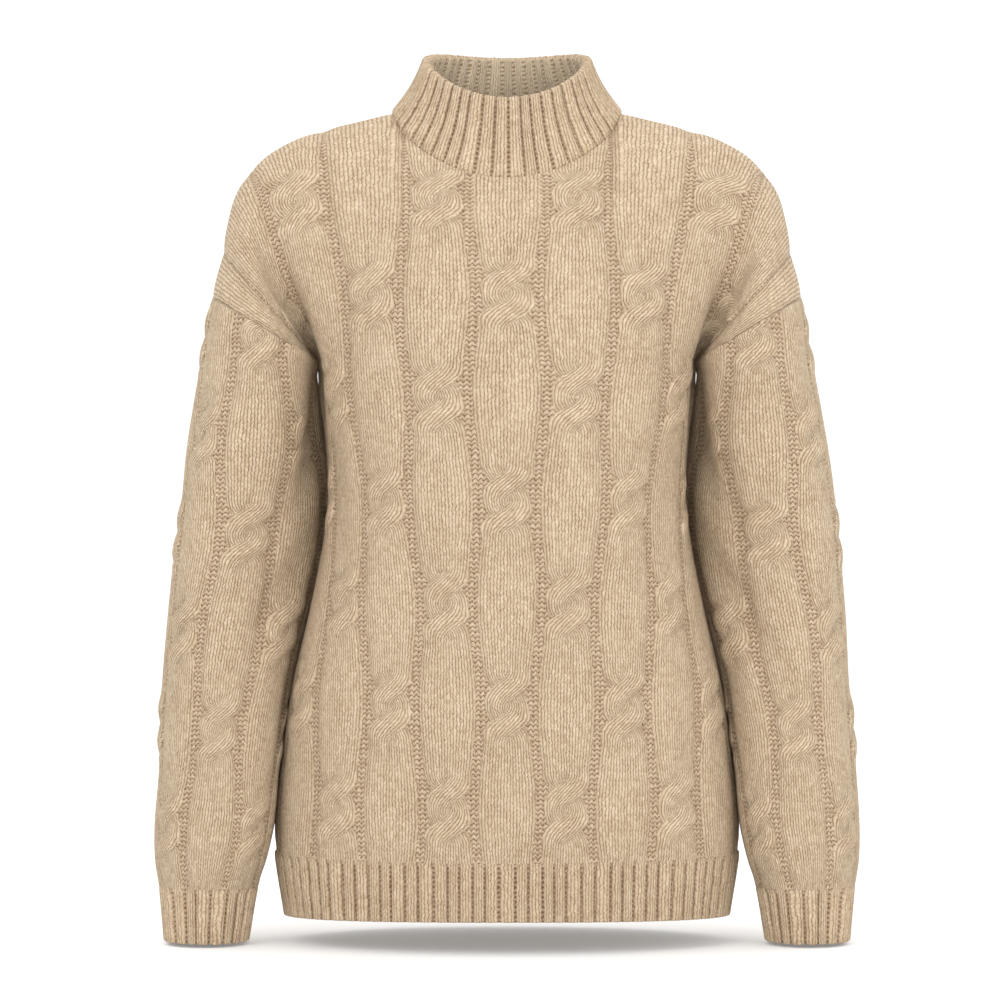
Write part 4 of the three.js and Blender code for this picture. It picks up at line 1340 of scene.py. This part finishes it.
@dataclass
class SleeveTube:
    """A sleeve from the armhole to the cuff."""

    name: str
    side: Side
    folds: tuple[Fold, ...]
    spacing: float = 1.95

    def build(self) -> bpy.types.Object:
        """Makes the sleeve."""
        around = density(SLEEVE_ROUND, self.spacing)
        around += -around % 2 * INNER_STEP
        rows = density(CUFF_TOP, self.spacing)
        turn = np.linspace(0, 1, around + 1)
        along = np.linspace(0, CUFF_TOP, rows + 1)
        column = np.broadcast_to(SLEEVE_EDGE - turn * 2 * SLEEVE_EDGE, (rows + 1, around + 1))
        form = sleeve_form(self.side, column, along)
        form[0] = self.armhole(turn)
        centre = (form[:, :1] + form[:, around // 2 : around // 2 + 1]) / 2
        away = form - centre
        through = outward_normals(form[:, :-1], True, away[:, :-1])
        through = np.concatenate([through, through[:, :1]], axis=1)
        move = np.zeros_like(form)
        angle = 2 * math.pi * turn
        front = turn <= 0.5
        for facing, part, angles in ((-1, front, angle), (1, ~front, 2 * math.pi - angle)):
            seam, across = armhole_seam(self.side, facing, angles[part])
            through[0, part] = seam
            move[0, part] = across * SEAM_GAP / 2
        through[-1] = unit(through[-1] * np.array([1.0, 1.0, 0.0]))
        move[-1, :, 2] = SEAM_GAP / 2
        up = form[..., 2] - CUFF_TOP_Z
        knitting = CableKnit(
            period=150,
            first=122,
            last=500,
            edge_column=9,
            lean=-self.side.value,
            length=50,
            half=0.42,
            wave=0.068,
        )
        fold = sum(one.press(column, up) for one in (*SHARED_SLEEVE_FOLDS, *self.folds))
        fold = fold * ease(along / SLEEVE_FOLD_FADE)[:, None]
        across = np.abs(column)
        fork = mix(1, np.clip(along / FORK_LENGTH, 0, 1)[:, None], ease((across - 2.2) / 1.0))
        edge = np.minimum(along, CUFF_TOP - along)[:, None]
        full = ease(edge / SEAM_FADE) * ease((3.96 - across) / 0.3) * fork
        arm = mix(SEAM_RELIEF, ARM_RELIEF, ease((1 - across / SLEEVE_EDGE) / ARM_RISE))
        arm = arm * mix(1, fork, ease(along / 14)[:, None])
        seam_relief = mix(BAND_RELIEF, arm, ease((CUFF_TOP - along[:, None]) / BAND_FADE))
        relief = mix(seam_relief, knitting.relief(column, up), full)
        outer = form + through * (relief - fold)[..., None] + move
        inner = form + through * (-WALL - fold)[..., None] + move
        step = INNER_STEP
        outer, inner = outer[:, :-1], inner[::step, ::step][:, :-1]
        turned = self.side is Side.RIGHT
        stitches, inside = knitting.both_sides(column, up)
        return Wall(self.name, outer, inner, stitches, inside, True, step, turned).build()

    def armhole(self, turn: Array) -> Array:
        """Points of the armhole seam, the same line as the panels' edges."""
        share = np.where(turn <= 0.5, turn * 2, 2 - turn * 2)
        edge = np.full((len(share), 1), PANEL_EDGE * self.side.value)
        points = []
        for facing, part in ((Facing.FRONT, turn <= 0.5), (Facing.BACK, turn > 0.5)):
            points.append(panel_form(facing, edge[part], share[part])[:, 0])
        return np.concatenate(points)


@dataclass
class RibbedTube:
    """A ribbed band that closes on itself: a cuff or the collar.

    Args:
        name: Name of the piece.
        form: Gives points from shares round the band and rows from 0 at the seam to 1 at the free edge.
        seam: Gives the directions through the cloth and across the seam at shares round it.
        ribs: The ribbing.
        wall: Thickness of the cloth.
        length: Height of the band.
        seam_relief: How far the seam stands out.
        cells: Faces across each rib.
        towards_edge: 1 if the free edge is above the seam and -1 if it is below.
        ribbed_inside: Whether ribs show on the inside as well.
        turned: Whether the outside faces run the other way round.
    """

    name: str
    form: Callable[[Array, Array], Array]
    seam: Callable[[Array], tuple[Array, Array]]
    ribs: RibKnit
    wall: float
    length: float
    seam_relief: float
    cells: int
    towards_edge: int
    ribbed_inside: bool
    turned: bool

    def build(self) -> bpy.types.Object:
        """Makes the band, with a rounded free edge."""
        cells = self.cells
        around = in_threes(self.ribs.count * cells)
        rows = density(self.length, BAND_ROW)
        share = np.linspace(0, 1, around + 1)
        levels = np.linspace(0, 1, rows + 1)
        shares = np.broadcast_to(share, (rows + 1, around + 1))
        heights = np.broadcast_to(levels[:, None], shares.shape)
        form = self.form(shares, heights)
        centre = form[:, :-1].mean(axis=1, keepdims=True)
        through = outward_normals(form[:, :-1], True, form[:, :-1] - centre)
        through = np.concatenate([through, through[:, :1]], axis=1)
        move = np.zeros_like(form)
        through[0], across = self.seam(share)
        move[0] = across * SEAM_GAP / 2
        rise = ease(heights * self.length / RIB_RISE)
        relief = mix(self.seam_relief, self.ribs.relief(shares), rise)
        outer = form + through * relief[..., None] + move
        lining = RibKnit(self.ribs.count, height=self.ribs.height * 0.6, width=0.66)
        half_rib = 0.5 / self.ribs.count
        depth = self.wall + (lining.relief(shares + half_rib) * rise if self.ribbed_inside else 0)
        inner = form - through * np.broadcast_to(depth, shares.shape)[..., None] + move
        along = unit(form[-1] - form[-2])
        radius = np.linalg.norm(outer[-1] - inner[-1], axis=-1, keepdims=True) / 2
        lip = rounded_lip(outer[-1], inner[-1], along * radius * LIP_REACH)
        outer = np.concatenate([outer, lip])
        up = heights * self.length
        lip_up = self.length + np.arange(1, len(lip) + 1) * LIP_ROW
        up = np.concatenate([up, np.broadcast_to(lip_up[:, None], (len(lip), around + 1))])
        up = up * self.towards_edge
        shares = np.broadcast_to(share, up.shape)
        step = INNER_STEP if not self.ribbed_inside else 1
        inner = inner[::step, ::step]
        stitches = self.ribs.stitches(middles_of(shares), corners_of(shares), corners_of(up))
        inner_shares = np.broadcast_to(share[::step], inner.shape[:2]) + half_rib
        inner_up = (levels[::step] * self.length * self.towards_edge)[:, None] * np.ones_like(inner_shares)
        inside = lining.stitches(middles_of(inner_shares), corners_of(inner_shares), corners_of(inner_up))
        outer, inner = outer[:, :-1], inner[:, :-1]
        return Wall(self.name, outer, inner, stitches, inside, True, step, self.turned).build()


@dataclass
class HemBand:
    """Half of the ribbed hem band, under the front or the back panel."""

    name: str
    facing: Facing
    ribs: RibKnit = field(default_factory=lambda: RibKnit(43))
    cells: int = 9

    def build(self) -> bpy.types.Object:
        """Makes the band, with a rounded free edge."""
        cells = self.cells
        count = in_threes(self.ribs.count * cells)
        length = HEM_TOP_Z - HEM_Z
        rows = density(length, BAND_ROW)
        share = np.linspace(0, 1, count + 1)
        levels = np.linspace(0, 1, rows + 1)
        z = mix(HEM_TOP_Z, HEM_Z, levels)
        column = np.broadcast_to(mix(-PANEL_EDGE, PANEL_EDGE, share), (rows + 1, count + 1))
        form = torso_form(self.facing, column, z)
        form[..., 2] -= SIDE_DROP * levels[:, None] * (column / PANEL_EDGE) ** 2
        away = form * np.array([1.0, 1.0, 0.0])
        through = unit(outward_normals(form, False, away) * np.array([1.0, 1.0, 0.0]))
        through[:, 0] = through[:, -1] = 0
        through[:, 0, 0], through[:, -1, 0] = -1, 1
        move = np.zeros_like(form)
        move[..., 1] = self.facing.value * SEAM_GAP / 2
        move[0, :, 2] = -SEAM_GAP / 2
        shares = np.broadcast_to(share, column.shape)
        rise = ease(levels * length / RIB_RISE)[:, None]
        edge = ease((0.5 - np.abs(shares - 0.5)) * self.ribs.count / 0.4)
        seam_relief = mix(BAND_RELIEF * edge, SEAM_RELIEF * edge, ease(levels * 4)[:, None])
        relief = mix(seam_relief, self.ribs.relief(shares), rise * edge)
        outer = form + through * relief[..., None] + move
        inner = form - through * WALL + move
        lip = rounded_lip(outer[-1], inner[-1], np.array([0.0, 0.0, -1.0]))
        outer = np.concatenate([outer, lip])
        up = -np.concatenate([levels * length, length + np.arange(1, len(lip) + 1) * LIP_ROW])
        up = np.broadcast_to(up[:, None], (len(up), count + 1))
        shares = np.broadcast_to(share, up.shape)
        step = INNER_STEP
        inner = inner[::step, ::step]
        stitches = self.ribs.stitches(middles_of(shares), corners_of(shares), corners_of(up))
        inner_shares = np.broadcast_to(share[::step], inner.shape[:2])
        inner_up = np.broadcast_to((-levels[::step] * length)[:, None], inner.shape[:2])
        inside = self.ribs.stitches(middles_of(inner_shares), corners_of(inner_shares), corners_of(inner_up))
        turned = self.facing is Facing.FRONT
        return Wall(self.name, outer, inner, stitches, inside, False, step, turned).build()


@dataclass(frozen=True)
class Softbox:
    """A square studio light.

    Args:
        name: Name of the light.
        place: Where it stands, in metres.
        aim: What it points at, in metres.
        size: Width of its square, in metres.
        watts: Its power.
    """

    name: str
    place: tuple[float, float, float]
    aim: tuple[float, float, float]
    size: float
    watts: float

    def build(self) -> None:
        """Makes the light."""
        data = bpy.data.lights.new(self.name, "AREA")
        data.size = self.size
        data.energy = self.watts
        light = bpy.data.objects.new(self.name, data)
        light.location = self.place
        towards = Vector(self.aim) - Vector(self.place)
        light.rotation_euler = towards.to_track_quat("-Z", "Y").to_euler()
        bpy.context.scene.collection.objects.link(light)


@dataclass(frozen=True)
class Studio:
    """The pale floor, the lights and the camera."""

    floor_z: float = -0.641
    half_size: float = 6.0
    camera_place: tuple[float, float, float] = (-0.0023, -3.0, -0.301)
    lens: float = 137.4
    lights: tuple[Softbox, ...] = (
        Softbox("key", (-1.3, -2.4, 1.5), (0, 0, -0.3), 1.6, 29),
        Softbox("fill", (1.7, -2.3, 0.4), (0, 0, -0.3), 1.8, 22),
        Softbox("top", (0.0, 0.5, 2.0), (0, 0, -0.2), 1.8, 14),
    )

    def build(self) -> None:
        """Makes the stage."""
        self.floor()
        for light in self.lights:
            light.build()
        self.sky()
        self.camera()
        bpy.context.scene.view_settings.view_transform = "Standard"

    def floor(self) -> None:
        """Makes a pale floor."""
        mesh = bpy.data.meshes.new("studio_floor")
        reach = self.half_size
        corners = [(-reach, -reach), (reach, -reach), (reach, reach), (-reach, reach)]
        mesh.from_pydata([(x, y, self.floor_z) for x, y in corners], [], [(0, 1, 2, 3)])
        floor = bpy.data.objects.new("studio_floor", mesh)
        bpy.context.scene.collection.objects.link(floor)
        graph = Graph("pale_floor")
        graph.shader.inputs["Base Color"].default_value = (0.80, 0.80, 0.80, 1)
        graph.shader.inputs["Roughness"].default_value = 0.9
        graph.shader.inputs["Emission Color"].default_value = (1, 1, 1, 1)
        graph.shader.inputs["Emission Strength"].default_value = 0.2
        mesh.materials.append(graph.material)

    def sky(self) -> None:
        """Makes an even white surround."""
        world = bpy.data.worlds.new("studio_white")
        world.use_nodes = True
        background = world.node_tree.nodes["Background"]
        background.inputs["Color"].default_value = (1, 1, 1, 1)
        background.inputs["Strength"].default_value = 1.1
        bpy.context.scene.world = world

    def camera(self) -> None:
        """Makes the camera, level with the sweater's middle."""
        data = bpy.data.cameras.new("camera")
        data.sensor_width = 36
        data.lens = self.lens
        camera = bpy.data.objects.new("camera", data)
        camera.location = self.camera_place
        camera.rotation_euler = (math.pi / 2, 0, 0)
        bpy.context.scene.collection.objects.link(camera)
        bpy.context.scene.camera = camera


BODY_YARN = Yarn(
    name="oatmeal_wool",
    light=(0.735, 0.605, 0.445),
    dark=(0.37, 0.257, 0.148),
    shade=(0.17, 0.10, 0.052),
    groove=0.84,
)
RIB_YARN = Yarn(
    name="oatmeal_wool_ribbed",
    light=(0.72, 0.59, 0.43),
    dark=(0.40, 0.275, 0.16),
    shade=(0.17, 0.10, 0.052),
    groove=0.74,
)


@dataclass(frozen=True)
class Cut:
    """The flat size that a piece was knitted to, in metres and square metres."""

    width: float
    length: float
    area: float


def cuff_form(side: Side) -> Callable[[Array, Array], Array]:
    """The form of a cuff, from shares round it and rows down it."""

    def form(share: Array, down: Array) -> Array:
        column = SLEEVE_EDGE - share * 2 * SLEEVE_EDGE
        return sleeve_form(side, column, mix(CUFF_TOP, CUFF_END, down[:, 0]))

    return form


def cuff_seam(side: Side) -> Callable[[Array], tuple[Array, Array]]:
    """Directions at the seam between sleeve and cuff."""

    def seam(share: Array) -> tuple[Array, Array]:
        column = (SLEEVE_EDGE - share * 2 * SLEEVE_EDGE)[None]
        rows = np.repeat(column, 3, axis=0)
        form = sleeve_form(side, rows, np.array([CUFF_TOP - 2, CUFF_TOP, CUFF_TOP + 2]))
        centre = form[:, :-1].mean(axis=1, keepdims=True)
        normals = outward_normals(form[:, :-1], True, form[:, :-1] - centre)[1]
        normals = np.concatenate([normals, normals[:1]])
        across = np.broadcast_to(np.array([0.0, 0.0, -1.0]), normals.shape)
        return unit(normals * np.array([1.0, 1.0, 0.0])), across

    return seam


def collar_turn(share: Array) -> Array:
    """Angle round the neck at a share of the way round, from the wearer's right side by the front."""
    return share * 2 * math.pi - math.pi / 2


class Sweater:
    """The whole garment: its pieces in the order that a maker joins them."""

    def __init__(self) -> None:
        """Lists the pieces with their nodes, finishes and cuts."""
        self.pieces: list[tuple[object, str, Yarn, Cut]] = [
            (Panel("front_panel", Facing.FRONT, FRONT_FOLDS), "front", BODY_YARN, Cut(0.60, 0.61, 0.256)),
            (Panel("back_panel", Facing.BACK, BACK_FOLDS), "back", BODY_YARN, Cut(0.60, 0.61, 0.253)),
        ]
        for name, side, folds in (
            ("left", Side.LEFT, LEFT_SLEEVE_FOLDS),
            ("right", Side.RIGHT, RIGHT_SLEEVE_FOLDS),
        ):
            sleeve = SleeveTube(f"{name}_sleeve", side, folds)
            self.pieces.append((sleeve, f"sleeve_{name}", BODY_YARN, Cut(0.38, 0.46, 0.156)))
        collar = RibbedTube(
            name="ribbed_collar",
            form=lambda share, up: collar_form(collar_turn(share), up),
            seam=lambda share: neck_seam(collar_turn(share)),
            ribs=RibKnit(44, height=3.3, width=0.88),
            wall=COLLAR_WALL,
            length=COLLAR_HEIGHT,
            seam_relief=SEAM_RELIEF,
            cells=9,
            towards_edge=1,
            ribbed_inside=True,
            turned=False,
        )
        self.pieces.append((collar, "collar", RIB_YARN, Cut(0.52, 0.06, 0.024)))
        for name, facing, cut in (
            ("front", Facing.FRONT, Cut(0.47, 0.045, 0.0204)),
            ("back", Facing.BACK, Cut(0.46, 0.045, 0.0198)),
        ):
            self.pieces.append((HemBand(f"{name}_hem", facing), f"hem_{name}", RIB_YARN, cut))
        for name, side in (("left", Side.LEFT), ("right", Side.RIGHT)):
            cuff = RibbedTube(
                name=f"{name}_cuff",
                form=cuff_form(side),
                seam=cuff_seam(side),
                ribs=RibKnit(22, height=2.7),
                wall=WALL,
                length=CUFF_END - CUFF_TOP,
                seam_relief=BAND_RELIEF,
                cells=9,
                towards_edge=-1,
                ribbed_inside=False,
                turned=side is Side.RIGHT,
            )
            self.pieces.append((cuff, f"cuff_{name}", RIB_YARN, Cut(0.25, 0.043, 0.0093)))

    def build(self) -> None:
        """Makes and dresses every piece, hangs it on the root and hides the imported part that it stands
        for.
        """
        materials = {yarn.name: yarn.material() for yarn in (BODY_YARN, RIB_YARN)}
        for maker, node, yarn, cut in self.pieces:
            piece = maker.build()
            piece.data.materials.append(materials[yarn.name])
            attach(piece, "root")
            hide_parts(node)
            LOG.info("%s: %d faces", piece.name, len(piece.data.polygons))


def main() -> None:
    """Builds the sweater and its stage."""
    logging.basicConfig(level=logging.INFO, format="%(name)s: %(message)s")
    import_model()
    Sweater().build()
    Studio().build()


if __name__ == "__main__":
    main()
